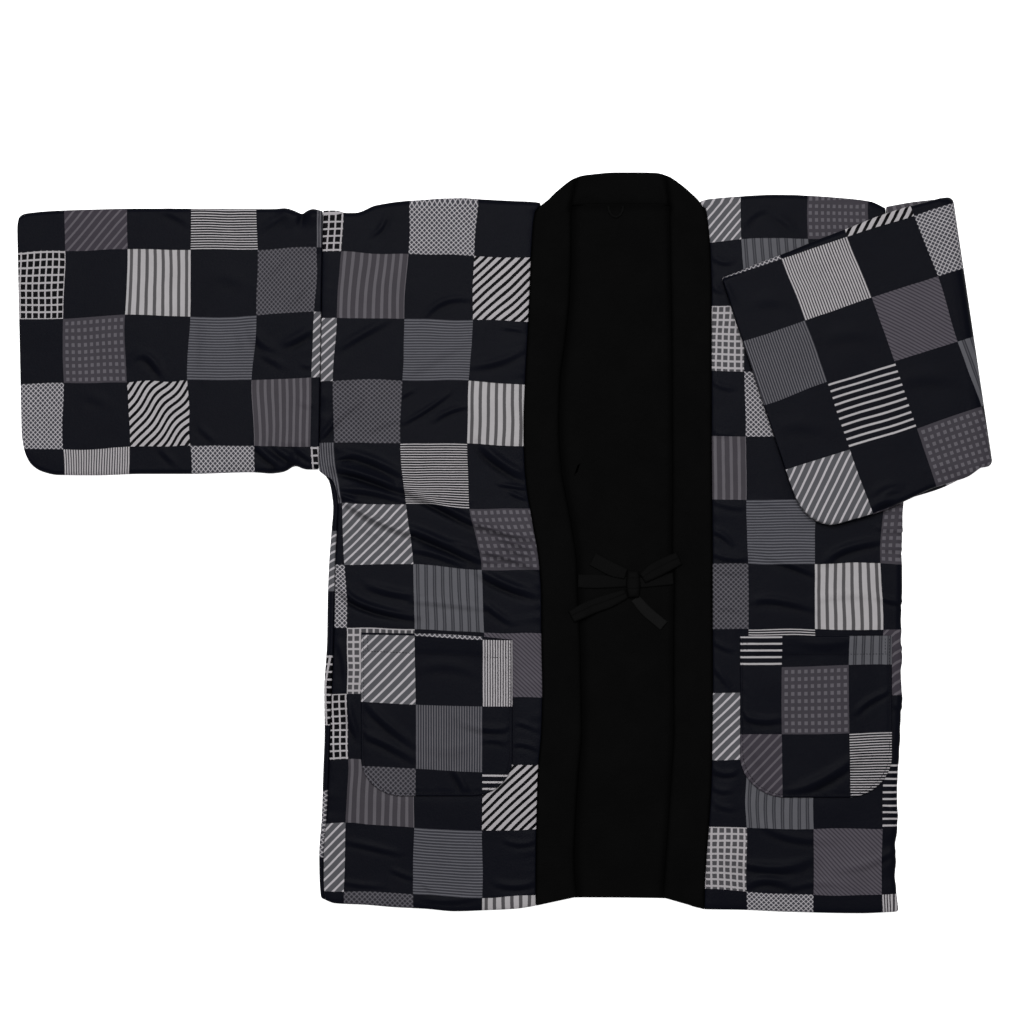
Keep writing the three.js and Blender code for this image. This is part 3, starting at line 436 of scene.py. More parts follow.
# Where handling has pulled the cloth, and its print with it: a corner of the print's squares by the panel's
# own numbers, the pull in mm (across, up), and how many squares it fades out over.
PULLS = {
    "sleeve_right": [
        (6, 3.5, 0, -4, 1.0), (5, 2.5, -2, -1.5, 0.8), (2, 4, 4, -1, 0.7), (1, 4, 1, 3, 0.7),
        (2, 3, 2, 0, 0.7), (1, 3, -2, 5, 0.7), (4, 3, -2, 2, 0.7), (3, 2, -4, 3, 0.7),
        (2, 2, -2, 2, 0.7), (1, 2, -4, 5, 0.7), (1, 1, -4, 1, 0.7), (4, 1, 3, 1, 0.7),
        (3, 1, 2, 2, 0.7), (5, 1, -1, -2, 0.7),
    ],
    "front_right": [
        (4, 1, 0, -6, 1.2), (3, 1, 1, -3, 0.7), (2, 1, -1, -2, 0.7), (4, 2.5, 0, -3, 0.8),
        (2, 2, 3, -2, 0.7), (1.5, 3, 0, 3.5, 0.8), (3, 3, 2, 2, 0.7), (3, 4, -1, 1.5, 0.7),
        (4, 4.5, 0, -4, 1.3), (2, 5.5, 0, 3, 0.7), (3, 5.5, -1, -2, 0.8), (3, 6, -2, -2, 0.7),
        (4, 6.5, -1, -2.5, 0.9), (1, 7, 1, 5, 0.9), (2, 7, 1, 1.5, 0.7), (1, 9, 2, 6.5, 1.0),
        (1, 10, -1, 4, 0.8), (2, 10.3, 0, -1.5, 0.7), (1, 11, 0, 2, 0.7), (3, 11, 0, -4, 0.9),
    ],
    "front_left": [
        (2, 5.6, -5, 0, 0.9), (3, 5.6, -4, 0, 0.9), (4, 5.6, -16, 0, 0.9), (1.2, 6, 0, -5, 0.6),
        (2, 6, -1, 2, 0.7), (2, 8, -2, -2, 0.7), (2, 10, 0, -2, 0.7),
        (1, 11, 0, 3, 0.8), (2, 11, 1, 2, 0.7), (3, 11, -1, 2.5, 0.7), (4, 11, -3, 2.5, 0.7),
        (2, 12, 4, 1, 0.7), (3, 12, -1, 1, 0.7), (4, 13, 0, -2, 0.7), (1.3, 14, 0, 2, 0.8),
        (3, 15, -2, 0, 0.8), (4, 15, -1, 0, 0.7), (1.2, 16, 0, 4, 0.8), (3.5, 16, -2, -4, 0.9),
    ],
    "pocket_right": [
        (7, 9, 0, 5, 0.8), (6, 9, 0, 4, 0.7), (7, 8, 1, 3, 0.8), (6, 8, 1, 0, 0.7),
        (7, 7, 1, 6, 0.8), (6, 7, 1, 3, 0.7),
    ],
    "pocket_left": [
        (4, 5.5, -1, 0, 0.9), (3, 6, -2, 2, 0.7), (2.4, 6, 0, 2, 0.6), (2.4, 5, 0, 3, 0.6),
        (3, 5, -1, 0, 0.7),
    ],
    "sleeve_left": [
        (5, 9, -5, -2, 0.7), (4, 9, -3, 1, 0.7), (3, 9, -2, -1, 0.7), (6, 8, 0, -3, 0.7),
        (5, 8, -1, -2, 0.7), (3, 8, 1, 1, 0.7), (6, 7, -1, -1, 0.7), (5, 7, -2, 2, 0.7),
        (4, 7, 1, 1, 0.7), (3, 7, -2, 0, 0.7), (5, 6, -2, -2, 0.7), (4, 6, 1, -1, 0.7),
    ],
}


def pulled(name, across, down):
    """How far the print of a panel is pulled at a place."""
    over, up = np.zeros(np.shape(across)), np.zeros(np.shape(across))
    for at_across, at_down, pull_over, pull_up, reach in PULLS[name]:
        near = np.exp(-((across - at_across) ** 2 + (down - at_down) ** 2) / reach ** 2)
        over = over + pull_over * near
        up = up + pull_up * near
    return over, up


# ---------- meshes ----------
def riding_mesh(name, points, faces, materials, smooth=True):
    """A mesh in metres, centred as the solids are, and its object, which rides on the one body."""
    placed = np.array(points, float)
    placed[:, :2] -= CENTRE
    placed *= MM
    mesh = bpy.data.meshes.new(name)
    mesh.from_pydata(placed.tolist(), [], faces)
    for material in materials:
        mesh.materials.append(material)
    if smooth:
        mesh.polygons.foreach_set("use_smooth", np.ones(len(mesh.polygons), dtype=bool))
    obj = bpy.data.objects.new(name, mesh)
    bpy.context.scene.collection.objects.link(obj)
    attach(obj, "root")
    return mesh, obj


def cloth_object(name, points, faces, corner_uv, face_material, materials, painted_shade):
    """A smooth mesh with its place on the print, its materials and its painted shade, which darkens the
    colour where the cloth lies hollow.
    """
    mesh, obj = riding_mesh(name, points, faces.tolist(), materials)
    layer = mesh.uv_layers.new(name="cloth")
    layer.data.foreach_set("uv", np.ascontiguousarray(corner_uv, dtype=np.float32).ravel())
    # Painted shade: a share of light taken off the colour in crease troughs and under edges.
    depth = mesh.attributes.new("painted_shade", "FLOAT", "POINT")
    depth.data.foreach_set("value", np.ascontiguousarray(painted_shade, dtype=np.float32))
    mesh.polygons.foreach_set("material_index", np.asarray(face_material, dtype=np.int32))
    mesh.update()
    return obj


def wall(name, outer, inner, uv, materials, tube=False, painted_shade=0.0):
    """A closed cloth wall from two grids of points that meet along every free edge.

    A tube's grids have one more column than the ring needs: it repeats the first, with its own uv.
    """
    rows, columns = outer.shape[:2]
    ring = columns - 1 if tube else columns
    outer_index = np.arange(rows * ring).reshape(rows, ring)
    inner_index = outer_index + rows * ring
    inner_index[0] = outer_index[0]
    inner_index[-1] = outer_index[-1]
    if not tube:
        inner_index[:, 0] = outer_index[:, 0]
        inner_index[:, -1] = outer_index[:, -1]
    wrap = np.arange(columns) % ring
    points = np.concatenate([outer[:, :ring].reshape(-1, 3), inner[:, :ring].reshape(-1, 3)])
    # Painted shade for each point of the outer face; the inner face gets none.
    painted_shades = np.broadcast_to(painted_shade, outer.shape[:2])[:, :ring].ravel()
    painted_shades = np.concatenate([painted_shades, np.zeros(len(points) - len(painted_shades))])
    faces = []
    corners = []
    for index, forward in ((outer_index, True), (inner_index, False)):
        grid = index[:, wrap]
        quads = np.stack([grid[:-1, :-1], grid[:-1, 1:], grid[1:, 1:], grid[1:, :-1]], axis=-1)
        quad_uv = np.stack([uv[:-1, :-1], uv[:-1, 1:], uv[1:, 1:], uv[1:, :-1]], axis=-2)
        if not forward:
            quads = quads[..., ::-1]
            quad_uv = quad_uv[..., ::-1, :]
        faces.append(quads.reshape(-1, 4))
        corners.append(quad_uv.reshape(-1, 2))
    count = len(faces[0])
    faces = np.concatenate(faces)
    corners = np.concatenate(corners)
    a, b, c, d = (points[faces[:, k]] for k in range(4))
    volume = np.einsum("ij,ij->i", a, np.cross(b, c)) + np.einsum("ij,ij->i", a, np.cross(c, d))
    if volume.sum() < 0:
        faces = faces[:, ::-1]
        corners = corners.reshape(-1, 4, 2)[:, ::-1].reshape(-1, 2)
    used = np.unique(faces)
    new_index = np.full(len(points), -1)
    new_index[used] = np.arange(len(used))
    material_index = np.repeat([0, 1], count)
    faces = new_index[faces]
    return cloth_object(name, points[used], faces, corners, material_index, materials, painted_shades[used])


def curl(c, angle, leg):
    """Where cloth lies that turns over an edge, at distance c from its cut end: inset, rise and turn."""
    start = TURN * np.sin(np.minimum(angle, math.pi / 2))
    past = angle * ROLL + leg - c
    turn = np.clip(past / ROLL, 0, angle)
    straight = np.maximum(past - angle * ROLL, 0)
    bent_inset = start - ROLL * np.sin(turn) - straight * np.cos(turn)
    inset = np.where(past <= 0, start - past, bent_inset)
    rise = np.where(past <= 0, 0.0, ROLL * (1 - np.cos(turn)) + straight * np.sin(turn))
    return inset, rise, turn, start - past


def no_curl(at):
    return np.zeros(np.shape(at)), np.zeros(np.shape(at))


EDGE_STEPS = np.array([0, 0.25, 0.8, 1.6, 3.0, 5.5])
ROLLED_STEPS = np.array([0, 0.25, 0.8, 1.6, 3.0, 4.8, ROLL * QUARTER])
STRIP_STEPS = np.array([0, 0.25, 0.8, 1.6, 3.0, 4.6, 6.2, 7.9, 9.6, 11.4, 13.5])


def panel(left, right, low, high, spacing, mid, facing, rise_side, left_curl=no_curl,
          right_curl=no_curl, high_curl=no_curl, left_steps=EDGE_STEPS, right_steps=EDGE_STEPS,
          low_steps=EDGE_STEPS, high_steps=EDGE_STEPS, left_scale=None, close=None):
    """Lays out a body panel's middle surface as a grid, with where each point lies along the cloth."""
    width = float(np.max(right(0.0) - left(0.0)))
    height = float(high(0.0) - low(0.0))
    middle_columns = int(width / spacing)
    middle_rows = int(height / spacing)
    column_share = np.linspace(0, 1, middle_columns + 2)[1:-1]
    row_share = np.linspace(0, 1, middle_rows + 2)[1:-1]
    if close:
        # Rows lie closer together between two heights, where the creases are sharp.
        bottom, top, factor = close
        heights = np.linspace(0, 1, 401)
        level = float(low(0.0)) + heights * height
        density = 1 + (factor - 1) * step_up(level, bottom - 20, bottom) * (1 - step_up(level, top, top + 20))
        total = np.concatenate([[0], np.cumsum((density[1:] + density[:-1]) / 2)])
        middle_rows = int(middle_rows * total[-1] / 400)
        row_share = np.interp(np.linspace(0, 1, middle_rows + 2)[1:-1], total / total[-1], heights)
    left_count, right_count = len(left_steps), len(right_steps)
    low_count, high_count = len(low_steps), len(high_steps)
    columns = left_count + middle_columns + right_count
    rows = low_count + middle_rows + high_count
    x = np.zeros((rows, columns))
    y = np.zeros((rows, columns))
    y += np.linspace(-400, 370, rows)[:, None]
    flat_x, flat_y = x.copy(), y.copy()
    side_rise, end_rise = x.copy(), x.copy()
    side_turn, end_turn = x.copy(), x.copy()
    for _ in range(5):
        scale = left_scale(y[:, :left_count]) if left_scale else 1.0
        c = left_steps[None, :] * scale
        edge = left(y[:, :left_count])
        inset, rise, turn, flat = curl(c, *left_curl(y[:, :left_count]))
        x[:, :left_count], flat_x[:, :left_count] = edge + inset, edge + flat
        side_rise[:, :left_count], side_turn[:, :left_count] = rise, -turn
        c = right_steps[None, ::-1] + 0 * y[:, -right_count:]
        edge = right(y[:, -right_count:])
        inset, rise, turn, flat = curl(c, *right_curl(y[:, -right_count:]))
        x[:, -right_count:], flat_x[:, -right_count:] = edge - inset, edge - flat
        side_rise[:, -right_count:], side_turn[:, -right_count:] = rise, turn
        between = slice(left_count, columns - right_count)
        first, last = x[:, left_count - 1], x[:, columns - right_count]
        x[:, between] = first[:, None] + column_share[None, :] * (last - first)[:, None]
        flat_x[:, between] = x[:, between]
        y[:low_count] = low(x[:low_count]) + low_steps[:, None]
        flat_y[:low_count] = y[:low_count]
        c = high_steps[::-1, None] + 0 * x[-high_count:]
        edge = high(x[-high_count:])
        inset, rise, turn, flat = curl(c, *high_curl(x[-high_count:]))
        y[-high_count:], flat_y[-high_count:] = edge - inset, edge - flat
        end_rise[-high_count:], end_turn[-high_count:] = rise, turn
        between = slice(low_count, rows - high_count)
        first, last = y[low_count - 1], y[rows - high_count]
        y[between] = first[None, :] + row_share[:, None] * (last - first)[None, :]
        flat_y[between] = y[between]
    place = np.stack([x, y, mid + rise_side * (side_rise + end_rise)], axis=-1)
    sideways = np.abs(side_turn) >= end_turn
    lean_x = np.where(sideways, np.sin(side_turn), 0.0)
    lean_y = np.where(sideways, 0.0, np.sin(end_turn))
    upright = np.where(sideways, np.cos(side_turn), np.cos(end_turn))
    normal = np.stack([lean_x, lean_y, facing * upright], axis=-1)
    return {"place": place, "normal": normal, "x": x, "y": y, "flat_x": flat_x, "flat_y": flat_y}


def edge_distance(grid):
    """How far each point lies along the cloth from its grid's left, right, lower and upper edges."""
    across = np.hypot(np.diff(grid[..., 0], axis=1), np.diff(grid[..., 1], axis=1))
    across = np.hypot(across, np.diff(grid[..., 2], axis=1))
    along = np.hypot(np.diff(grid[..., 0], axis=0), np.diff(grid[..., 1], axis=0))
    along = np.hypot(along, np.diff(grid[..., 2], axis=0))
    from_left = np.concatenate([np.zeros((len(grid), 1)), np.cumsum(across, axis=1)], axis=1)
    from_low = np.concatenate([np.zeros((1, grid.shape[1])), np.cumsum(along, axis=0)], axis=0)
    from_right = from_left[:, -1:] - from_left
    from_high = from_low[-1:] - from_low
    return from_left, from_right, from_low, from_high


def clothe(name, grid, relief, uv, materials, half=HALF, side_round=HALF, painted_shade=0.0):
    """Makes a panel's wall: the outer face carries the relief, the inner one stays plain.

    The sides that are sewn to another piece get a tight rounding, side_round.
    """
    left_away, right_away, low_away, high_away = edge_distance(grid["place"])
    sides = share(np.minimum(left_away, right_away), side_round)
    ends = share(np.minimum(low_away, high_away), half)
    rounding = np.minimum(sides, ends)[..., None]
    outer_half = np.maximum(half + relief, 0.5)[..., None]
    outer = grid["place"] + grid["normal"] * outer_half * rounding
    inner = grid["place"] - grid["normal"] * half * rounding
    return wall(name, outer, inner, uv, materials, painted_shade=painted_shade)


# ---------- materials ----------
def srgb(red, green, blue):
    """A colour given in 0-255 values, as the linear values that shaders take."""
    linear = []
    for value in (red, green, blue):
        s = value / 255
        linear.append(s / 12.92 if s <= 0.04045 else ((s + 0.055) / 1.055) ** 2.4)
    return (*linear, 1.0)


LIGHT_ON_CLOTH = 1.2      # how much light level cloth gets in this studio


def seen(red, green, blue):
    """The cloth colour that shows as these 0-255 values under the studio's light."""
    return (*(value / LIGHT_ON_CLOTH for value in srgb(red, green, blue)[:3]), 1.0)


NAVY = seen(12, 13, 20)
FLEECE_BLACK = seen(6, 6, 6)
FLEECE_GREY = seen(8, 8, 8)
LIGHT = seen(170, 166, 169)
INK = seen(7, 7, 10)

# Each fill: ground, line colour, lines a cell across and down, share of a line, and its kind. A kind of
# 0 is plain lines, 0.3 has a thin gap along each line, and a kind over 0.5 is crossed by lines that many
# times as close the other way, brighter where they meet if it is 1.
FILLS = {
    "A": (INK, seen(166, 162, 165), 10.2, 0, 0.245, 0.9),
    "B": (seen(165, 162, 164), seen(78, 76, 78), 8.0, 0, 0.40, 0),
    "C": (seen(58, 54, 61), seen(90, 86, 92), 6.7, 6.4, 0.28, 0),
    "D": (seen(20, 21, 26), seen(174, 170, 173), 0, 26, 0.37, 0),
    "E": (seen(44, 43, 48), seen(95, 93, 99), 13.6, 13.6, 0.34, 1),
    "F": (seen(92, 89, 95), seen(61, 58, 64), 10.2, 0, 0.50, 0.9),
    "G": (seen(52, 52, 58), seen(94, 94, 100), 0, 23, 0.42, 0),
    "H": (seen(167, 163, 166), INK, 7.3, 7.3, 0.46, 0),
    "I": (seen(62, 59, 64), seen(91, 88, 93), 8.4, 0, 0.38, 0),
    "J": (seen(60, 60, 66), seen(184, 180, 184), 13.5, 13.5, 0.27, 1),
    "K": (seen(60, 58, 62), LIGHT, 26, 0, 0.53, 0),
    "M": (seen(82, 82, 86), seen(176, 172, 176), 6.8, 6.8, 0.28, 0),
    "N": (seen(88, 88, 93), seen(52, 52, 57), 8.2, 0, 0.42, 0.3),
    "P": (seen(72, 71, 74), seen(164, 160, 163), 10.4, 0, 0.31, 0.91),
    "Q": (NAVY, LIGHT, 0, 10, 0.29, 0),
    "R": (seen(82, 78, 85), seen(56, 53, 60), 15, -15, 0.40, 0),
    "S": (seen(46, 46, 52), seen(94, 93, 98), 26, 0, 0.45, 0),
}
# The fills of one repeat: each of five columns holds four, in every other cell of its eight.
CHART = ["AMSJ", "IEMP", "JGDN", "HBFR", "KFCQ"]


class Nodes:
    """Builds a material's nodes, one short call for each."""

    def __init__(self, name):
        self.material = bpy.data.materials.new(name)
        self.material.use_nodes = True
        self.tree = self.material.node_tree
        self.tree.nodes.clear()

    def add(self, kind, inputs=(), **settings):
        node = self.tree.nodes.new(kind)
        for key, value in settings.items():
            setattr(node, key, value)
        for key, value in dict(inputs).items():
            self.plug(value, node.inputs[key])
        return node

    def plug(self, value, socket):
        if isinstance(value, bpy.types.NodeSocket):
            self.tree.links.new(value, socket)
        else:
            socket.default_value = value

    def math(self, operation, *values):
        return self.add("ShaderNodeMath", dict(enumerate(values)), operation=operation).outputs[0]

    def noise(self, vector, scale, detail=2.0, rough=0.5):
        inputs = {"Vector": vector, "Scale": scale, "Detail": detail, "Roughness": rough}
        return self.add("ShaderNodeTexNoise", inputs)

    def mix(self, factor, a, b, blend="MIX"):
        node = self.add("ShaderNodeMix", data_type="RGBA", blend_type=blend)
        self.plug(factor, node.inputs[0])
        self.plug(a, node.inputs[6])
        self.plug(b, node.inputs[7])
        return node.outputs[2]

    def ramp(self, factor, colours):
        node = self.add("ShaderNodeValToRGB", {"Fac": factor})
        node.color_ramp.interpolation = "CONSTANT"
        stops = node.color_ramp.elements
        while len(stops) < len(colours):
            stops.new(0.5)
        for k, colour in enumerate(colours):
            stops[k].position = k / len(colours)
        for k, colour in enumerate(colours):
            stops[k].color = colour
        return node

    def line(self, across, duty):
        """One where the number across is near a whole one, for the share duty of the way."""
        centred = self.math("SUBTRACT", self.math("MULTIPLY", self.math("FRACT", across), 2.0), 1.0)
        wave = self.math("ABSOLUTE", centred)
        edge = self.math("SUBTRACT", 1.0, duty)
        low = self.math("SUBTRACT", edge, LINE_SOFTNESS)
        high = self.math("ADD", edge, LINE_SOFTNESS)
        node = self.add("ShaderNodeMapRange", interpolation_type="SMOOTHSTEP")
        for key, value in {"Value": wave, "From Min": low, "From Max": high}.items():
            self.plug(value, node.inputs[key])
        return node.outputs["Result"]

    def shaded(self, colour, light):
        """The colour times a share: painted shade, or tone that differs at random."""
        grey = self.add("ShaderNodeCombineColor", {0: light, 1: light, 2: light}).outputs[0]
        return self.mix(1.0, colour, grey, "MULTIPLY")

    def with_painted_shade(self, colour, loss):
        """The colour, darkened by painted shade where the cloth lies hollow."""
        painted_shade = self.add("ShaderNodeAttribute", attribute_name="painted_shade").outputs["Fac"]
        return self.shaded(colour, self.math("SUBTRACT", 1.0, self.math("MULTIPLY", painted_shade, loss)))

    def finish(self, inputs):
        """The material, with one shader on these inputs."""
        shader = self.add("ShaderNodeBsdfPrincipled", inputs)
        out = self.add("ShaderNodeOutputMaterial")
        self.tree.links.new(shader.outputs[0], out.inputs[0])
        return self.material


PAINTED_CREASE_SHADE = 0.45        # how much painted shade darkens the bottom of a crease
PAINTED_FLEECE_SHADE = 0.8        # and how much painted shade darkens the fleece where it goes under an edge
FREQUENCY_SPAN = 64.0      # the ramps hold lines a cell as a share of this, about one half
LINE_SOFTNESS = 0.06       # how softly a printed line ends
PRINT_WOBBLE = (0.004, 0.004, 0.0)     # how far printed edges waver, in squares
CHART_COLUMNS = float(len(CHART))
CHART_FILLS = float(len(CHART[0]))
CHART_ROWS = 2 * CHART_FILLS
CHART_DROP = 3.0           # each next repeat stands this many squares lower
THREADS_A_SQUARE = 110
WEAVE_HEIGHT = 0.00003
SLUB_HEIGHT = 0.00035
NAP_HEIGHT = 0.00045
TUFT_HEIGHT = 0.0011


def printed_cloth():
    """Plain navy squares between squares of stripes and checks, on a smooth closely woven cotton."""
    n = Nodes("printed_cloth")
    uv = n.add("ShaderNodeUVMap", uv_map="cloth").outputs[0]
    place = n.add("ShaderNodeTexCoord").outputs["Object"]
    wobble = n.noise(place, 70.0, 1.0).outputs["Color"]
    centred = n.add("ShaderNodeVectorMath", {0: wobble, 1: (0.5, 0.5, 0.5)}, operation="SUBTRACT").outputs[0]
    small = n.add("ShaderNodeVectorMath", {0: centred, 1: PRINT_WOBBLE}, operation="MULTIPLY").outputs[0]
    moved = n.add("ShaderNodeVectorMath", {0: uv, 1: small}, operation="ADD").outputs[0]
    cell = n.add("ShaderNodeSeparateXYZ", {0: moved})
    u, v = cell.outputs[0], cell.outputs[1]
    column, row = n.math("FLOOR", u), n.math("FLOOR", v)
    across, down = n.math("SUBTRACT", u, column), n.math("SUBTRACT", v, row)
    repeat = n.math("FLOOR", n.math("DIVIDE", n.math("ADD", column, 0.5), CHART_COLUMNS))
    chart_column = n.math("SUBTRACT", column, n.math("MULTIPLY", repeat, CHART_COLUMNS))
    dropped = n.math("SUBTRACT", row, n.math("MULTIPLY", repeat, CHART_DROP))
    chart_row = n.math("FLOORED_MODULO", n.math("ADD", dropped, 0.25), CHART_ROWS)
    parity = n.math("FLOORED_MODULO", n.math("ADD", chart_column, n.math("FLOOR", chart_row)), 2.0)
    filled = n.math("LESS_THAN", parity, 0.5)
    pair = n.math("FLOOR", n.math("DIVIDE", chart_row, 2.0))
    index = n.math("ADD", n.math("MULTIPLY", chart_column, CHART_FILLS), pair)
    fills = [FILLS[letter] for column_fills in CHART for letter in column_fills]
    factor = n.math("DIVIDE", n.math("ADD", index, 0.5), float(len(fills)))
    ground = n.ramp(factor, [fill[0] for fill in fills]).outputs["Color"]
    line_colour = n.ramp(factor, [fill[1] for fill in fills]).outputs["Color"]
    numbers = [
        (fill[2] / FREQUENCY_SPAN + 0.5, fill[3] / FREQUENCY_SPAN + 0.5, fill[4], fill[5])
        for fill in fills
    ]
    coded = n.ramp(factor, numbers)
    split = n.add("ShaderNodeSeparateColor", {0: coded.outputs["Color"]})
    frequency = [
        n.math("MULTIPLY", n.math("SUBTRACT", split.outputs[k], 0.5), FREQUENCY_SPAN) for k in (0, 1)
    ]
    duty = split.outputs[2]
    kind = coded.outputs["Alpha"]
    counted = n.math("ADD", n.math("MULTIPLY", across, frequency[0]), n.math("MULTIPLY", down, frequency[1]))
    first = n.math("ADD", counted, n.math("MULTIPLY", n.math("LESS_THAN", kind, 0.5), 0.5))
    down_count = n.math("MULTIPLY", down, frequency[0])
    turned = n.math("SUBTRACT", down_count, n.math("MULTIPLY", across, frequency[1]))
    second = n.math("MULTIPLY", turned, kind)
    crossed = n.math("MULTIPLY", n.line(second, duty), n.math("GREATER_THAN", kind, 0.5))
    straight = n.line(first, duty)
    either = n.math("MAXIMUM", straight, crossed)
    both = n.math("MULTIPLY", straight, crossed)
    woven = n.math("MULTIPLY", n.math("GREATER_THAN", kind, 0.95), 0.35)
    gapped = n.math("MULTIPLY", n.math("GREATER_THAN", kind, 0.1), n.math("LESS_THAN", kind, 0.5))
    gap = n.math("MULTIPLY", n.math("MULTIPLY", n.line(first, 0.12), gapped), 0.6)
    lowered = n.math("MULTIPLY", n.math("SUBTRACT", either, both), woven)
    mask = n.math("SUBTRACT", n.math("SUBTRACT", either, lowered), gap)
    patterned = n.mix(mask, ground, line_colour)
    colour = n.mix(filled, NAVY, patterned)
    faded = n.noise(place, 38.0, 3.0).outputs[0]
    shade = n.add("ShaderNodeMapRange", {"Value": faded, "To Min": 0.90, "To Max": 1.10}).outputs[0]
    # Painted shade darkens the print in the troughs of its creases.
    colour = n.with_painted_shade(n.shaded(colour, shade), PAINTED_CREASE_SHADE)
    threads = n.add("ShaderNodeSeparateXYZ", {0: uv})
    warp = n.math("SINE", n.math("MULTIPLY", threads.outputs[0], 2 * math.pi * THREADS_A_SQUARE))
    weft = n.math("SINE", n.math("MULTIPLY", threads.outputs[1], 2 * math.pi * THREADS_A_SQUARE))
    weave = n.math("MULTIPLY", warp, weft)
    slub = n.noise(place, 420.0, 3.0, 0.6).outputs[0]
    slub_height = n.math("MULTIPLY", slub, SLUB_HEIGHT)
    height = n.math("ADD", n.math("MULTIPLY", weave, WEAVE_HEIGHT), slub_height)
    bump = n.add("ShaderNodeBump", {"Height": height, "Distance": 1.0, "Strength": 0.55})
    return n.finish({
        "Base Color": colour,
        "Roughness": 0.36,
        "Specular IOR Level": 0.014,
        "Normal": bump.outputs[0],
    })


def black_fleece(name, dark, light, fibre=1.0):
    """A short, soft, matt nap."""
    n = Nodes(name)
    place = n.add("ShaderNodeTexCoord").outputs["Object"]
    nap = n.noise(place, 900.0, 3.0, 0.65).outputs[0]
    tufts = n.noise(place, 210.0, 3.0, 0.6).outputs[0]
    nap_height = n.math("MULTIPLY", nap, NAP_HEIGHT * fibre)
    height = n.math("ADD", nap_height, n.math("MULTIPLY", tufts, TUFT_HEIGHT * fibre))
    bump = n.add("ShaderNodeBump", {"Height": height, "Distance": 1.0, "Strength": 0.7})
    patchy = n.noise(place, 26.0, 4.0, 0.6).outputs[0]
    ramp = n.add("ShaderNodeMapRange", {"Value": patchy, "From Min": 0.3, "From Max": 0.7}).outputs[0]
    # Painted shade darkens the fleece where it goes under an edge or into a seam.
    colour = n.with_painted_shade(n.mix(ramp, dark, light), PAINTED_FLEECE_SHADE)
    return n.finish({
        "Base Color": colour,
        "Roughness": 0.8,
        "Specular IOR Level": 0.02,
        "Normal": bump.outputs[0],
    })


def plain_material(name, colour, roughness):
    n = Nodes(name)
    place = n.add("ShaderNodeTexCoord").outputs["Object"]
    speck = n.noise(place, 30.0, 3.0).outputs[0]
    tint = n.add("ShaderNodeMapRange", {"Value": speck, "To Min": 0.985, "To Max": 1.0}).outputs[0]
    return n.finish({"Base Color": n.shaded(colour, tint), "Roughness": roughness})


PRINT = printed_cloth()
FLEECE = black_fleece("black_fleece", FLEECE_BLACK, FLEECE_GREY)
# The ties' fleece is the lining's made lighter: painted light where the bow and the hanger cord stand up into
# the light. The lower tail's copy has more painted light still.
LIT_TIE_FLEECE = black_fleece("tie_fleece_painted_light", seen(10, 10, 10), seen(12, 12, 12), 0.6)
LIT_TAIL_FLEECE = black_fleece("tail_fleece_painted_light", seen(17, 17, 17), seen(21, 21, 21), 0.6)
THREAD_DARK = black_fleece("sewing_thread", seen(8, 8, 12), seen(14, 14, 19), 0.1)
CLOTH = (PRINT, FLEECE)
ALL_FLEECE = (FLEECE, FLEECE)

# ---------- camera, floor and light ----------
CAMERA_HEIGHT = 5000.0
FRAME_WIDTH = 1146.9
LOOK_AT = (8.5, 34.2)
SENSOR = 36.0
SHEET_HEIGHT = 8.0
WORLD_LIGHT = 0.15
FLOOR_REACH = 6.0         # metres from its middle to its edges
FLOOR_DROP = 0.0004       # it lies this far below the cloth
FLOOR_GLOW = 0.9          # the table is lit from below as well, which clears the shadows off it
# A wide soft box hangs over the garment, a little towards its neck, so that level cloth is the brightest
# and the slopes of its creases fall darker.
LIGHTS = {
    "overhead": ((-0.05, 0.95, 4.2), 2.2, 200),
    "left": ((-2.8, 0.6, 1.6), 1.2, 8),
}


def stage_and_camera():
    camera_data = bpy.data.cameras.new("camera")
    camera_data.sensor_width = SENSOR
    camera_data.lens = SENSOR * CAMERA_HEIGHT / FRAME_WIDTH
    camera_data.clip_end = 20.0
    camera = bpy.data.objects.new("camera", camera_data)
    camera.location = (LOOK_AT[0] * MM, LOOK_AT[1] * MM, (CAMERA_HEIGHT + SHEET_HEIGHT) * MM)
    bpy.context.scene.collection.objects.link(camera)
    bpy.context.scene.camera = camera

    mesh = bpy.data.meshes.new("floor")
    reach = FLOOR_REACH
    corners = [(-reach, -reach, 0), (reach, -reach, 0), (reach, reach, 0), (-reach, reach, 0)]
    mesh.from_pydata(corners, [], [(0, 1, 2, 3)])
    white = plain_material("floor_white", (0.96, 0.96, 0.96, 1), 0.8)
    shader = next(node for node in white.node_tree.nodes if node.type == "BSDF_PRINCIPLED")
    shader.inputs["Emission Color"].default_value = (1, 1, 1, 1)
    shader.inputs["Emission Strength"].default_value = FLOOR_GLOW
    mesh.materials.append(white)
    floor = bpy.data.objects.new("floor", mesh)
    floor.location.z = -FLOOR_DROP
    bpy.context.scene.collection.objects.link(floor)

    world = bpy.data.worlds.new("studio")
    world.use_nodes = True
    background = world.node_tree.nodes["Background"]
    background.inputs[0].default_value = (1, 1, 1, 1)
    background.inputs[1].default_value = WORLD_LIGHT
    bpy.context.scene.world = world

    for name, (place, size, power) in LIGHTS.items():
        light_data = bpy.data.lights.new(name, "AREA")
        light_data.shape = "DISK"
        light_data.size = size
        light_data.energy = power
        light = bpy.data.objects.new(name, light_data)
        light.location = place
        light.visible_camera = False
        direction = -light.location.normalized()
        light.rotation_euler = direction.to_track_quat("-Z", "Y").to_euler()
        bpy.context.scene.collection.objects.link(light)
    bpy.context.scene.view_settings.view_transform = "Standard"
    bpy.context.scene.view_settings.look = "None"


stage_and_camera()

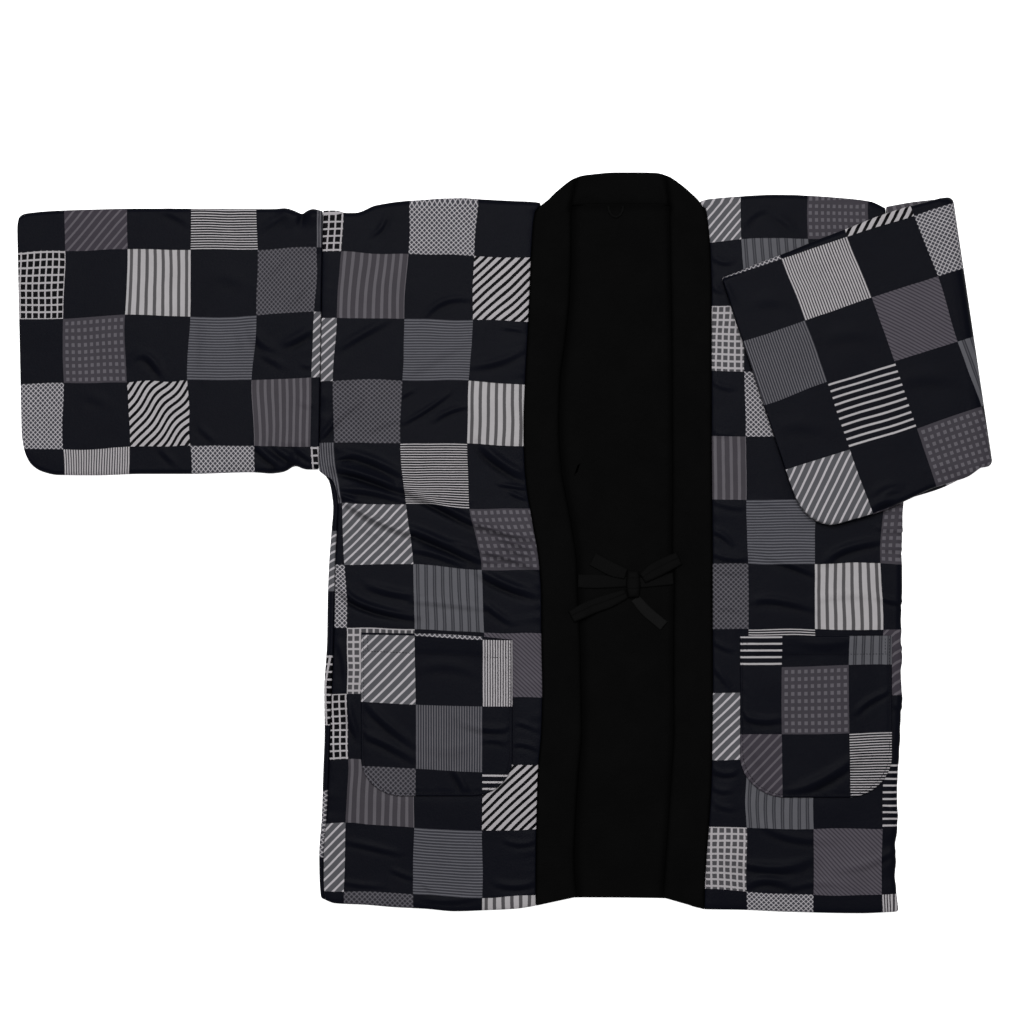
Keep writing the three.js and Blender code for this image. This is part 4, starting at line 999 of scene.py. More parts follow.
# ---------- body ----------
right_outline = smooth(RIGHT[:, 0], RIGHT[:, 1])
right_seam = smooth(RIGHT[:, 0], RIGHT[:, 2])
right_collar_out = smooth(RIGHT[:, 0], RIGHT[:, 3])
right_collar_in = smooth(RIGHT[:, 0], RIGHT[:, 4])
left_collar_out = smooth(LEFT[:, 0], LEFT[:, 1])
left_collar_in = smooth(LEFT[:, 0], LEFT[:, 2])
left_outline = smooth(LEFT[:, 0], LEFT[:, 3])
shoulder = smooth(SHOULDER[:, 0], SHOULDER[:, 1])
hem = smooth(HEM[:, 0], HEM[:, 1])


def quarter_curl(at):
    return np.full(np.shape(at), QUARTER), np.zeros(np.shape(at))


def seam_curl(y):
    return np.where(y > UNDERARM_LEFT, 0.0, QUARTER), np.zeros(np.shape(y))


def strip_curl(y):
    """The back's cloth rolls round to the front outside the right side seam."""
    visible = right_seam(y) - GAP - right_outline(y)
    partly = math.pi - np.arcsin(np.clip((TURN - visible) / ROLL, 0, 1))
    angle = np.where(visible >= TURN, math.pi, partly)
    leg = np.where(visible >= TURN, visible - TURN, 0.0)
    above = y > UNDERARM_RIGHT
    return np.where(above, 0.0, angle), np.where(above, 0.0, leg)


def strip_scale(y):
    angle, leg = strip_curl(y)
    return np.maximum(0.4, (angle * ROLL + leg) / STRIP_STEPS[-1])


def at_neck(x):
    return (x > NECK_FROM) & (x < NECK_TO)


def shoulder_curl(x):
    return np.where(at_neck(x), 0.0, QUARTER), np.zeros(np.shape(x))


BACK_U_ZERO = -256.5
BACK_V = number_line([-352.8, -277.8, -205.0, -126.6, -54.9, 12.3, 86.4, 160.6, 234.7, 308.9, 383.0], -2)


def underside(x, y, seed):
    """Shallow creases of a face that lies on the floor, so they only go inward."""
    long_waves = np.abs(noise(x / 70 + y / 160, y / 55, seed))
    short_waves = np.abs(noise(x / 24, y / 30, seed + 1))
    return -0.2 - 0.9 * long_waves - 0.35 * short_waves


def back():
    grid = panel(
        right_outline, left_outline, hem,
        lambda x: np.where(at_neck(x), NECKLINE, shoulder(x)),
        spacing=5.0, mid=BACK_MID, facing=-1, rise_side=1,
        left_curl=strip_curl, right_curl=seam_curl, high_curl=shoulder_curl,
        left_steps=STRIP_STEPS, right_steps=ROLLED_STEPS, high_steps=ROLLED_STEPS,
        left_scale=strip_scale,
    )
    x, y = grid["x"], grid["y"]
    down = step_up(-grid["normal"][..., 2], 0.2, 0.9)
    from_left = edge_distance(grid["place"])[0]
    strip = 0.45 * noise(y / 7, from_left / 40, 31) * step_up(grid["normal"][..., 2], 0.0, 0.8)
    relief = underside(x, y, 11) * down + strip
    uv = np.stack([(grid["flat_x"] - BACK_U_ZERO) / SQUARE, BACK_V(grid["flat_y"])], axis=-1)
    obj = clothe("back_panel", grid, relief, uv, CLOTH)
    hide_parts("back")
    return obj


def back_lining():
    inset = TURN + 0.4

    def side(outline, y, sign):
        near = [sign * outline(y + step) for step in (-26, -13, 0, 13, 26)]
        return sign * np.max(near, axis=0)

    def left(y):
        above = right_outline(y) + 0.6
        return np.where(y > UNDERARM_RIGHT + 24, above, side(right_outline, y, 1) + inset)

    def right(y):
        above = left_outline(y) - 0.6
        return np.where(y > UNDERARM_LEFT + 24, above, side(left_outline, y, -1) - inset)

    def low(x):
        return hem(x) - np.where((x > 75) & (x < 185), 0.5, -2.0)

    def high(x):
        return np.where((x > 66) & (x < 194), NECKLINE + 3.5, shoulder(x) - inset - 5)

    steps = np.array([0, 0.3, 0.7, 1.2, 3.0])
    grid = panel(
        left, right, low, high, spacing=3.6, mid=LINING_MID, facing=1, rise_side=1,
        left_steps=steps, right_steps=steps, low_steps=steps, high_steps=steps,
    )
    x, y = grid["x"], grid["y"]
    open_part = step_up(x, 88, 96) * (1 - step_up(x, 168, 178))
    away = np.minimum(x - right_collar_in(y), left_collar_in(y) - x)
    relief = 0.5 * noise(x / 60, y / 120, 41) + 0.25 * noise(x / 22, y / 30, 42)
    relief = (relief + 0.5 + seam_ditch(away, 0.6, 5.0)) * open_part
    uv = np.stack([x / 75, y / 75], axis=-1)
    # Painted shade on the lining beside the collar's inner edges, wider beside the right collar, and along
    # the neck band's edge.
    wide = np.where(x < 130, 6.0, 4.0)
    painted_shade = 0.9 * np.exp(-((away / wide) ** 2)) + 0.5 * np.exp(-(((NECKLINE - y) / 4) ** 2))
    obj = clothe(
        "back_lining_fleece", grid, relief, uv, ALL_FLEECE, half=LINING / 2, painted_shade=np.clip(painted_shade, 0, 1),
    )
    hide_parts("back_lining")
    return obj


# Print of the right front: where the chart's columns 1, 2 and 3 run at each height.
FRONT_RIGHT_COLUMNS = np.array([
    [383.0, -180.3, -106.4, -30.2], [327.0, -182.6, -107.5, -35.3], [250.9, -188.2, -115.4, -37.0],
    [179.2, -191.5, -115.4, -42.6], [110.9, -191.5, -116.5, -42.6], [41.4, -183.7, -110.9, -39.2],
    [-25.8, -180.3, -103.0, -23.5], [-98.6, -177.0, -101.9, -23.5], [-244.2, -177.0, -101.9, -24.6],
    [-320.3, -179.2, -101.9, -25.8], [-389.8, -179.2, -101.9, -25.8],
])
FRONT_RIGHT_V = number_line(
    [397.6, 324.8, 250.9, 179.2, 110.9, 41.4, -28.0, -100.8, -173.6, -249.8, -320.3, -393.1], 0)
FRONT_LEFT_U = number_line([194.9, 269.9, 347.2, 423.4], 1)
FRONT_LEFT_V = number_line(
    [411.0, 338.2, 264.3, 192.1, 118.7, 48.2, -26.9, -98.6, -169.1, -245.3, -320.3, -391.4], 5)


def front_right_u(x, y):
    marks = smooth(FRONT_RIGHT_COLUMNS[:, 0], FRONT_RIGHT_COLUMNS[:, 1:])(y)
    one, two, three = marks[..., 0], marks[..., 1], marks[..., 2]
    first = 1 + (x - one) / (two - one)
    second = 2 + (x - two) / (three - two)
    return np.where(x < two, first, second)


# How far the middle of a pocket's mouth stands above a straight line.
MOUTH_BULGE = {"right": 2.6, "left": 0.0}
# Each pocket: left, right, mouth at the left, mouth at the right, lowest point, corner.
POCKETS = {
    "right": (-161.0, 8.4, -101.0, -109.2, -284.0, 46.0),
    "left": (262.9, 432.6, -105.5, -104.5, -285.6, 51.0),
}


def under_pocket(x, y, side):
    """One under a pocket, fading out just past its edges."""
    left, right, mouth_left, mouth_right, bottom, _ = POCKETS[side]
    across = step_up(x, left - 8, left + 2) * (1 - step_up(x, right - 2, right + 8))
    top = max(mouth_left, mouth_right)
    return across * step_up(y, bottom - 8, bottom + 4) * (1 - step_up(y, top - 2, top + 10))


def square_edge(upright):
    """Fills the turn of a fold a little, so that it is flatter on top than a plain half round."""
    return 4.6 * upright**2 * (1 - upright**2)


def cloth_waves(x, y, seed, height=0.55):
    """The low, wide unevenness of padded cloth that lies loose."""
    broad = noise(x / 90 + y / 200, y / 60, seed)
    fine = noise(x / 34, y / 26, seed + 1)
    return height * broad + 0.35 * height * fine


def front_right():
    grid = panel(
        right_seam, lambda y: right_collar_out(y) - GAP / 2, hem, shoulder,
        spacing=2.3, mid=FRONT_MID, facing=1, rise_side=-1, close=(-75, 100, 1.6),
        high_curl=quarter_curl, high_steps=ROLLED_STEPS,
    )
    x, y = grid["x"], grid["y"]
    from_left, from_right, from_low, from_high = edge_distance(grid["place"])
    crease, shift_x, shift_y = creases(x, y, FRONT_RIGHT_CREASES)
    drift_x, drift_y = print_drift(x, y, 151)
    relief = crease + cloth_waves(x, y, 51)
    relief += seam_ditch(from_left, 0.4, 3) + seam_ditch(from_right, 0.5, 3) + seam_ditch(from_low, 0.4, 4)
    relief += pucker(y, from_left, 52, 1.2, 8.0, 11.0) + pucker(y, from_right, 54, 1.2, 8.0, 13.0)
    relief += pucker(x, from_low, 56, 0.8, 8.0) + pucker(x, from_high, 58, 0.5, 12.0)
    relief += square_edge(grid["normal"][..., 2])
    covered = under_pocket(x, y, "right")
    relief = relief * (1 - covered) - 0.3 * covered
    print_x, print_y = x + shift_x + drift_x, grid["flat_y"] + shift_y + drift_y
    over, up = pulled("front_right", front_right_u(print_x, y), FRONT_RIGHT_V(print_y))
    uv = np.stack([front_right_u(print_x - over, y), FRONT_RIGHT_V(print_y - up)], axis=-1)
    # Painted shade in the troughs of the creases, none under the pocket.
    painted_shade = in_trough(crease) * (1 - covered)
    obj = clothe("front_right_panel", grid, relief, uv, CLOTH, side_round=1.0, painted_shade=painted_shade)
    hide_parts("front_right")
    return obj


def under_sleeve(x, y):
    """One under the folded left sleeve."""
    top, low = SLEEVE_LEFT_RETURN[:, 0:2], SLEEVE_LEFT_RETURN[:, 2:4]
    outline = np.concatenate([top, low[::-1]])
    inside = np.full(np.shape(x), 1e9)
    centre = outline.mean(axis=0)
    for k in range(len(outline)):
        a, b = outline[k], outline[(k + 1) % len(outline)]
        edge = b - a
        length = np.hypot(*edge)
        if length < 1e-6:
            continue
        out = np.array([edge[1], -edge[0]]) / length
        if np.dot(out, centre - a) > 0:
            out = -out
        inside = np.minimum(inside, -((x - a[0]) * out[0] + (y - a[1]) * out[1]))
    return step_up(inside, -9, 0)


def front_left():
    def beside_collar(y):
        """The collar's edge, and where it slants in above the shoulder."""
        return left_collar_out(np.minimum(y, 373)) + GAP / 2 - 1.6 * np.maximum(y - 373, 0)

    grid = panel(
        beside_collar, left_outline, hem, shoulder,
        spacing=2.5, mid=FRONT_MID, facing=1, rise_side=-1,
        right_curl=seam_curl, high_curl=quarter_curl,
        right_steps=ROLLED_STEPS, high_steps=ROLLED_STEPS,
    )
    x, y = grid["x"], grid["y"]
    from_left, from_right, from_low, from_high = edge_distance(grid["place"])
    crease, shift_x, shift_y = creases(x, y, FRONT_LEFT_CREASES)
    drift_x, drift_y = print_drift(x, y, 161)
    relief = crease + cloth_waves(x, y, 61)
    relief += seam_ditch(from_left, 0.7, 3) + seam_ditch(from_low, 0.4, 4)
    relief += pucker(y, from_left, 62, 1.1, 9.0, 12.0) + pucker(y, from_right, 64, 1.1, 9.0)
    relief += 1.3 * noise(y / 15, y * 0, 69) * np.exp(-from_right / 9)
    relief += pucker(x, from_low, 66, 0.8, 8.0) + pucker(x, from_high, 68, 0.5, 12.0)
    relief += square_edge(grid["normal"][..., 2])
    covered = np.maximum(under_pocket(x, y, "left"), under_sleeve(x, y))
    relief = relief * (1 - covered) - 0.3 * covered
    print_x, print_y = grid["flat_x"] + shift_x + drift_x, grid["flat_y"] + shift_y + drift_y
    over, up = pulled("front_left", FRONT_LEFT_U(print_x), FRONT_LEFT_V(print_y))
    uv = np.stack([FRONT_LEFT_U(print_x - over), FRONT_LEFT_V(print_y - up)], axis=-1)
    # Painted shade in the troughs of the creases, none under the pocket or the folded sleeve.
    painted_shade = in_trough(crease) * (1 - covered)
    obj = clothe("front_left_panel", grid, relief, uv, CLOTH, side_round=1.0, painted_shade=painted_shade)
    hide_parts("front_left")
    return obj


# ---------- sleeves ----------
SEWN_EDGE = 1.0               # how far an edge that is sewn to another piece is rounded
TUBE_SPACING = 2.8            # between the mesh lines that run along a tube


def ring(span, visible, spacing):
    """A flattened tube's middle line from the underarm seam and round again.

    Gives distance from the upper edge, height, sideways and upward facing, and the place on the print,
    which is the distance from the upper edge on the visible face and carries on round both folds.
    """
    arc = 12
    leg = int((span.mean() - 2 * TURN) / spacing)
    quarter = np.linspace(math.pi / 2, 0, arc // 2 + 1)
    whole = np.linspace(0, math.pi, arc + 1)
    steps = np.linspace(0, 1, leg + 2)[1:-1]
    span = span[:, None]

    def bend(angle, sign):
        centre = TURN if sign < 0 else span - TURN
        distance = centre + sign * ROLL * np.sin(angle)[None, :]
        height = BACK_MID + ROLL * (1 - np.cos(angle))
        return distance + 0 * span, height, sign * np.sin(angle), -np.cos(angle)

    def flat(height, up, at):
        distance = TURN + at[None, :] * (span - 2 * TURN)
        return distance, np.full(at.shape, height), np.zeros(at.shape), np.full(at.shape, up)

    pieces = [
        bend(quarter, 1),
        flat(BACK_MID, -1.0, steps[::-1]),
        bend(whole, -1),
        flat(FRONT_MID, 1.0, steps),
        bend(np.linspace(math.pi, math.pi / 2, arc // 2 + 1), 1),
    ]
    distance = np.concatenate([piece[0] for piece in pieces], axis=1)
    height, along, up = (np.concatenate([piece[k] for piece in pieces]) for k in (1, 2, 3))
    past_top = TURN - TURN * math.pi
    far_face = past_top - (distance - TURN)
    far_end = past_top - (span - 2 * TURN)
    near_end = span - TURN
    if visible == "front":
        printed = [
            far_end - TURN * quarter[None, :],
            far_face[:, len(quarter):len(quarter) + leg],
            TURN - TURN * (math.pi - whole)[None, :] + 0 * span,
            distance[:, len(quarter) + leg + len(whole):][:, :leg],
            near_end + TURN * (np.linspace(0, math.pi / 2, arc // 2 + 1))[None, :],
        ]
    else:
        printed = [
            near_end + TURN * quarter[None, :],
            distance[:, len(quarter):len(quarter) + leg],
            TURN - TURN * whole[None, :] + 0 * span,
            far_face[:, len(quarter) + leg + len(whole):][:, :leg],
            far_end - TURN * (np.linspace(0, math.pi / 2, arc // 2 + 1))[None, :],
        ]
    return distance, height, along, up, np.concatenate(printed, axis=1)


def dense_sections(table, spacing, start_edge, end_edge):
    """Sections between those of the table, closer together at an end that is rounded.

    How far the ends are rounded is start_edge and end_edge, or 0.
    """
    steps = np.hypot(np.diff(table[:, 0]), np.diff(table[:, 1]))
    steps = np.maximum(steps, np.hypot(np.diff(table[:, 2]), np.diff(table[:, 3])) * 0.4)
    travelled = np.concatenate([[0], np.cumsum(steps)])
    length = travelled[-1]
    near = np.array([0, 0.25, 0.8, 1.6, 3.0])
    start = near if start_edge else np.array([0.0])
    end = near if end_edge else np.array([0.0])
    middle = np.linspace(start[-1], length - end[-1], int(length / spacing) + 1)[1:-1]
    at = np.concatenate([start, middle, (length - end)[::-1]])
    sections = smooth(travelled, table)(at)
    fullness = np.ones(len(at))
    if start_edge:
        fullness = np.minimum(fullness, share(at, start_edge))
    if end_edge:
        fullness = np.minimum(fullness, share(length - at, end_edge))
    return sections, fullness


def flat_tube(name, sections, fullness, lift, visible, relief, print_point, chart, table):
    """A flattened tube of cloth, lifted into place section by section."""
    top, low = sections[:, 0:2], sections[:, 2:4]
    span = np.hypot(*(low - top).T)
    down = (low - top) / span[:, None]
    distance, height, along, up, printed = ring(span, visible, TUBE_SPACING)
    plan = top[:, None, :] + down[:, None, :] * distance[..., None]
    place = lift(plan, height)
    above = lift(plan, height + 1.0) - place
    sideways = np.concatenate([down, np.zeros((len(down), 1))], axis=1)
    normal = sideways[:, None, :] * along[None, :, None] + above * up[None, :, None]
    normal /= np.linalg.norm(normal, axis=-1, keepdims=True)
    raised = relief(plan, up[None, :] + 0 * distance, distance, span[:, None])
    # Painted shade in the crease troughs of the two flat faces.
    painted_shade = in_trough(creases(plan[..., 0], plan[..., 1], table)[0]) * (np.abs(up) > 0.8)[None, :]
    full = fullness[:, None, None]
    outer = place + normal * np.maximum(HALF + raised, 0.5)[..., None] * full
    inner = place - normal * HALF * full
    uv = chart(print_point(top[:, None, :] + down[:, None, :] * printed[..., None]))
    return wall(name, outer, inner, uv, CLOTH, tube=True, painted_shade=painted_shade)


SLEEVE_RIGHT_U = number_line([-142.2, -212.8, -280.0, -351.7, -422.2, -492.8, -563.4], 0)
SLEEVE_RIGHT_V = number_line([31.4, 105.3, 178.1, 252.0, 327.0, 401.0], 0)


ARMHOLE_RIGHT = -206.5
CUFF_RIGHT = -545


def sleeve_right():
    sections, fullness = dense_sections(SLEEVE_RIGHT, 2.7, HALF, SEWN_EDGE)
    top_x, top_y, low_x, low_y = SLEEVE_RIGHT[-1]

    def lift(plan, height):
        """The end of the sleeve is drawn up to the body, so that the seam between them is closed."""
        end_x = top_x + (low_x - top_x) * (top_y - plan[..., 1]) / (top_y - low_y)
        to_body = right_outline(np.clip(plan[..., 1], 84, 368)) - 0.12 - end_x
        x = plan[..., 0] + to_body * step_up(plan[..., 0], -235, -207)
        z = np.broadcast_to(height, plan.shape[:2])
        return np.stack([x, plan[..., 1], z], axis=-1)

    def relief(plan, up, distance, span):
        x, y = plan[..., 0], plan[..., 1]
        inland = step_up(np.minimum(distance, span - distance), 2, 16)
        shown = step_up(up, 0.1, 0.9)
        on_top = creases(x, y, SLEEVE_RIGHT_CREASES)[0] + cloth_waves(x, y, 71, 0.5) * inland
        from_armhole = ARMHOLE_RIGHT - x
        on_top += seam_ditch(from_armhole, 0.3, 2.5) + pucker(y, from_armhole, 72, 1.2, 9.0, 14.0)
        from_cuff = x - CUFF_RIGHT
        on_top += pucker(y, from_cuff, 74, 0.4, 9.0, 9.0)
        on_top += pucker(x, span - distance, 76, 0.5, 8.0, 8.0)
        filled = square_edge(up) * step_up(up, -0.2, 0.4)
        top_notch = 3.0 * np.exp(-(((x + 228) / 4) ** 2)) - 2.4 * np.exp(-(((x + 215) / 8) ** 2))
        top_notch -= 1.7 * np.exp(-(((x + 243) / 9) ** 2))
        low_notch = 3.4 * np.exp(-(((x + 236) / 5) ** 2)) - 1.6 * np.exp(-(((x + 262) / 12) ** 2))
        notches = top_notch * step_up(24 - distance, 0, 22) + low_notch * step_up(26 - span + distance, 0, 24)
        filled = filled - notches * step_up(up, -0.9, 0.1)
        return on_top * shown + filled + underside(x, y, 78) * step_up(-up, 0.3, 1.0)

    def chart(point):
        x, y = point[..., 0], point[..., 1]
        _, shift_x, shift_y = creases(x, y, SLEEVE_RIGHT_CREASES)
        drift_x, drift_y = print_drift(x, y, 171)
        # One patch lies in low waves that bend its slanting stripes.
        along = 0.8 * x + 0.6 * y + 217.3
        ripple = 1.9 * np.cos(2 * math.pi * along / 56) * np.exp(-(((along - 12) / 34) ** 2))
        ripple = ripple * step_up(np.hypot(x + 385, y - 145), 62, 34)
        x = x + shift_x + drift_x + ripple
        y = y + shift_y + drift_y - ripple
        over, up = pulled("sleeve_right", SLEEVE_RIGHT_U(x), SLEEVE_RIGHT_V(y))
        return np.stack([SLEEVE_RIGHT_U(x - over), SLEEVE_RIGHT_V(y - up)], axis=-1)

    obj = flat_tube(
        "sleeve_right_tube", sections, fullness, lift, "front", relief, lambda point: point, chart,
        SLEEVE_RIGHT_CREASES,
    )
    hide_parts("sleeve_right")
    return obj


# The print of the folded sleeve: a corner of its squares with the corner's numbers across and up, how far
# the lines across and the lines up are turned, in degrees, and the size of the squares each way.
SLEEVE_LEFT_CORNER = (409.2, 272.8)
SLEEVE_LEFT_NUMBERS = (4, 8)
SLEEVE_LEFT_TURNS = (18.9, 17.8)
SLEEVE_LEFT_SQUARE = (76.3, 76.5)
SLEEVE_LEFT_CREEP = 0.058               # how far the print creeps inward along the upper fold


def sleeve_left():
    fold_top, fold_low = SLEEVE_LEFT_RETURN[0, 0:2], SLEEVE_LEFT_RETURN[0, 2:4]
    fold_line = (fold_low - fold_top) / np.hypot(*(fold_low - fold_top))
    outward = np.array([-fold_line[1], fold_line[0]])
    root, root_full = dense_sections(SLEEVE_LEFT_ROOT, 3.0, SEWN_EDGE, 0)
    back_part, back_full = dense_sections(SLEEVE_LEFT_RETURN, 3.0, 0, HALF)
    bend = 22
    angles = np.concatenate([
        np.zeros(len(root)),
        np.linspace(0, math.pi, bend + 1)[1:-1],
        np.full(len(back_part), math.pi),
    ])
    sections = np.concatenate([root, np.repeat(back_part[:1], bend - 1, axis=0), back_part])
    fullness = np.concatenate([root_full, np.ones(bend - 1), back_full])
    turned = angles[:, None]

    def lift(plan, height):
        reach = FOLD_Z - height[None, :]
        swell = 1 + 0.16 * np.sin(2 * turned) ** 2 * (turned > math.pi / 2)
        out = reach * np.sin(turned) * swell
        flat = plan + out[..., None] * outward
        z = FOLD_Z - reach * np.cos(turned) * swell
        return np.concatenate([flat, z[..., None]], axis=-1)

    def relief(plan, up, distance, span):
        x, y = plan[..., 0], plan[..., 1]
        inland = step_up(np.minimum(distance, span - distance), 2, 16)
        returned = (turned > 3.0) & (up < 0)
        on_top = creases(x, y, SLEEVE_LEFT_CREASES)[0] + cloth_waves(x, y, 81, 0.5) * inland
        along_fold = (x - fold_top[0]) * outward[0] + (y - fold_top[1]) * outward[1]
        on_top = on_top * step_up(-along_fold, 0, 20)
        on_top = on_top * step_up(-up, 0.3, 1.0) + square_edge(up) * step_up(-up, -0.2, 0.4)
        return np.where(returned, on_top, -0.2 * step_up(np.abs(up), 0.3, 1.0))

    def print_point(point):
        across = (point - fold_top) @ outward
        mirrored = point - 2 * across[..., None] * outward
        extra = (math.pi - turned) * FOLD_Z
        from_root = (turned == 0)[..., None]
        return np.where(from_root, mirrored, point) + extra[..., None] * outward

    def even(x, y):
        """The numbers on the print where nothing pulls it."""
        beside, above = x - SLEEVE_LEFT_CORNER[0], y - SLEEVE_LEFT_CORNER[1]
        row_turn, column_turn = np.radians(SLEEVE_LEFT_TURNS)
        across, up = SLEEVE_LEFT_NUMBERS
        wide, tall = SLEEVE_LEFT_SQUARE
        u = across - (beside * np.cos(row_turn) + above * np.sin(row_turn)) / wide
        v = up + (above * np.cos(column_turn) - beside * np.sin(column_turn)) / tall
        return u, v

    def chart(point):
        drift_x, drift_y = print_drift(point[..., 0], point[..., 1], 181, 0.8)
        x, y = point[..., 0] + drift_x, point[..., 1] + drift_y
        over, up = pulled("sleeve_left", *even(x, y))
        u, v = even(x - over, y - up)
        along = SLEEVE_LEFT_RETURN[-1, 0:2] - fold_top
        below = (along[0] * (y - fold_top[1]) - along[1] * (x - fold_top[0])) / np.hypot(*along)
        v += SLEEVE_LEFT_CREEP * np.exp(-((np.maximum(np.abs(below) - 2, 0) / 24) ** 2))
        return np.stack([u, v], axis=-1)

    obj = flat_tube(
        "sleeve_left_tube", sections, fullness, lift, "back", relief, print_point, chart, SLEEVE_LEFT_CREASES,
    )
    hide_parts("sleeve_left")
    return obj


# ---------- bands ----------
def band_grid(path, half, profile, spacing):
    """A band that follows a path of outer point, inner point and middle height."""
    out, inn, mid = path[:, 0:2], path[:, 2:4], path[:, 4]
    centre = np.concatenate([(out + inn) / 2, mid[:, None]], axis=1)
    travelled = np.concatenate([[0], np.cumsum(np.linalg.norm(np.diff(centre, axis=0), axis=1))])
    length = travelled[-1]
    near = half * np.array([0, 0.08, 0.26, 0.55, 1.0])
    middle = np.linspace(near[-1], length - near[-1], max(3, int(length / spacing)))[1:-1]
    at = np.concatenate([near, middle, (length - near)[::-1]])
    rows = smooth(travelled, path)(at)
    width = np.hypot(rows[:, 0] - rows[:, 2], rows[:, 1] - rows[:, 3])
    count = max(3, int(width.mean() / profile))
    edge = len(near)
    distance = np.zeros((len(at), 2 * edge + count))
    distance[:, :edge] = near
    distance[:, -edge:] = width[:, None] - near[::-1]
    inner_share = np.linspace(0, 1, count + 2)[1:-1]
    distance[:, edge:-edge] = near[-1] + inner_share * (width[:, None] - 2 * near[-1])
    part = distance / width[:, None]
    place = np.zeros((len(at), distance.shape[1], 3))
    place[..., 0] = rows[:, None, 0] + part * (rows[:, None, 2] - rows[:, None, 0])
    place[..., 1] = rows[:, None, 1] + part * (rows[:, None, 3] - rows[:, None, 1])
    place[..., 2] = rows[:, None, 4]
    from_side = np.minimum(distance, width[:, None] - distance)
    from_end = np.minimum(at, length - at)[:, None] + 0 * distance
    rounding = share(from_side, half) * share(from_end, half)
    return place, rounding, distance, at[:, None] + 0 * distance, width[:, None]


def band(name, path, half, relief, profile=2.5, spacing=3.0, materials=ALL_FLEECE, painted_shade=None):
    place, rounding, distance, at, width = band_grid(path, half, profile, spacing)
    raised = relief(place[..., 0], place[..., 1], distance, at, width)
    # Painted shade, where the piece gives a function for it.
    depth = painted_shade(place[..., 0], place[..., 1], width - distance) if painted_shade else 0.0
    up = np.zeros(place.shape)
    up[..., 2] = 1.0
    outer = place + up * (np.maximum(half + raised, 0.5) * rounding)[..., None]
    inner = place - up * (half * rounding)[..., None]
    uv = np.stack([at / 75, distance / 75], axis=-1)
    return wall(name, outer, inner, uv, materials, painted_shade=depth)


NECK_SEAM_LEVEL = 377          # the seams of the neck stretch cross this height at these places
NECK_SEAM_RIGHT = 73.9
NECK_SEAM_LEFT = 183.7
NECK_SEAM_WIDTH = 2.6


def neck_seams(x, y):
    """One in the two seams of the neck stretch, the lines of the seams, and one at their height."""
    right_line = NECK_SEAM_RIGHT + 0.2 * (y - NECK_SEAM_LEVEL)
    left_line = NECK_SEAM_LEFT - 0.12 * (y - NECK_SEAM_LEVEL)
    in_right = np.exp(-(((x - right_line) / NECK_SEAM_WIDTH) ** 2))
    in_left = np.exp(-(((x - left_line) / NECK_SEAM_WIDTH) ** 2))
    return in_right + in_left, right_line, left_line, step_up(y, 366, 374)


def collar():
    half = COLLAR / 2
    right_y = RIGHT[(RIGHT[:, 0] > -395) & (RIGHT[:, 0] < 370), 0]
    left_y = LEFT[(LEFT[:, 0] > -395) & (LEFT[:, 0] < 363), 0][::-1]
    nudge = 1.6 * GAP
    right_side = [[right_collar_out(y) + nudge, y, right_collar_in(y), y, COLLAR_MID] for y in right_y]
    left_side = [[left_collar_out(y) - nudge, y, left_collar_in(y), y, COLLAR_MID] for y in left_y]
    right_out, right_in = right_collar_out(-400) + nudge, right_collar_in(-395)
    left_out, left_in = left_collar_out(-400) - nudge, left_collar_in(-395)
    right_end = [right_out, float(hem(right_out)), right_in, float(hem(right_in)) + 0.5, COLLAR_MID]
    left_end = [left_out, float(hem(left_out)), left_in, float(hem(left_in)) + 0.5, COLLAR_MID]
    right_corner = [41.7, 378.2, 74.7, 373.8, COLLAR_MID]
    path = np.array([right_end, *right_side, right_corner, *NECK.tolist(), *left_side, left_end])

    def relief(x, y, distance, at, width):
        across = distance / width
        crown = 0.9 * np.sin(math.pi * np.clip(across, 0, 1)) - 1.1 * np.exp(-(((width - distance) / 5) ** 2))
        waves = 0.7 * noise(at / 90, distance / 12, 91) + 0.4 * noise(at / 28, distance / 14, 92)
        crown += pucker(at, distance, 93, 0.7, 12.0, 10.0)
        seams, right_line, left_line, neck = neck_seams(x, y)
        lower = step_up(x, right_line, right_line + 3) * (1 - step_up(x, left_line - 3, left_line))
        return crown + waves - neck * (2.4 * seams + 0.9 * lower)

    # Painted shade in the two seams of the neck stretch and along the collar's inner edge.
    def painted_shade(x, y, from_inner):
        seams, _, _, neck = neck_seams(x, y)
        return np.clip(seams * neck + 0.7 * np.exp(-((from_inner / 2.0) ** 2)), 0, 1)

    obj = band("collar_band", path, half, relief, profile=3.0, spacing=3.0, painted_shade=painted_shade)
    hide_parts("collar_right", "collar_neck", "collar_left")
    return obj


# ---------- pockets ----------
STITCH_LENGTH = 2.6
STITCH_GAP = 0.9
THREAD = 0.32                 # half the thread's width
POCKET_LIFT = FRONT_MID + HALF + 2.2 * GAP
POCKET_SPACING = 2.5
# The print of each pocket: a corner of its squares, the corner's numbers across and up, the squares' size.
POCKET_PRINTS = {
    "right": (50.4, -183.7, 4, 8, 75.8, 73.9),
    "left": (234.1, -215.0, 5, 5, 76.2, SQUARE),
}


def pocket_chart(side, x, y):
    """The numbers on a pocket's print where nothing pulls it."""
    corner_x, corner_y, across, up, wide, tall = POCKET_PRINTS[side]
    return np.stack([across - (x - corner_x) / wide, up + (y - corner_y) / tall], axis=-1)


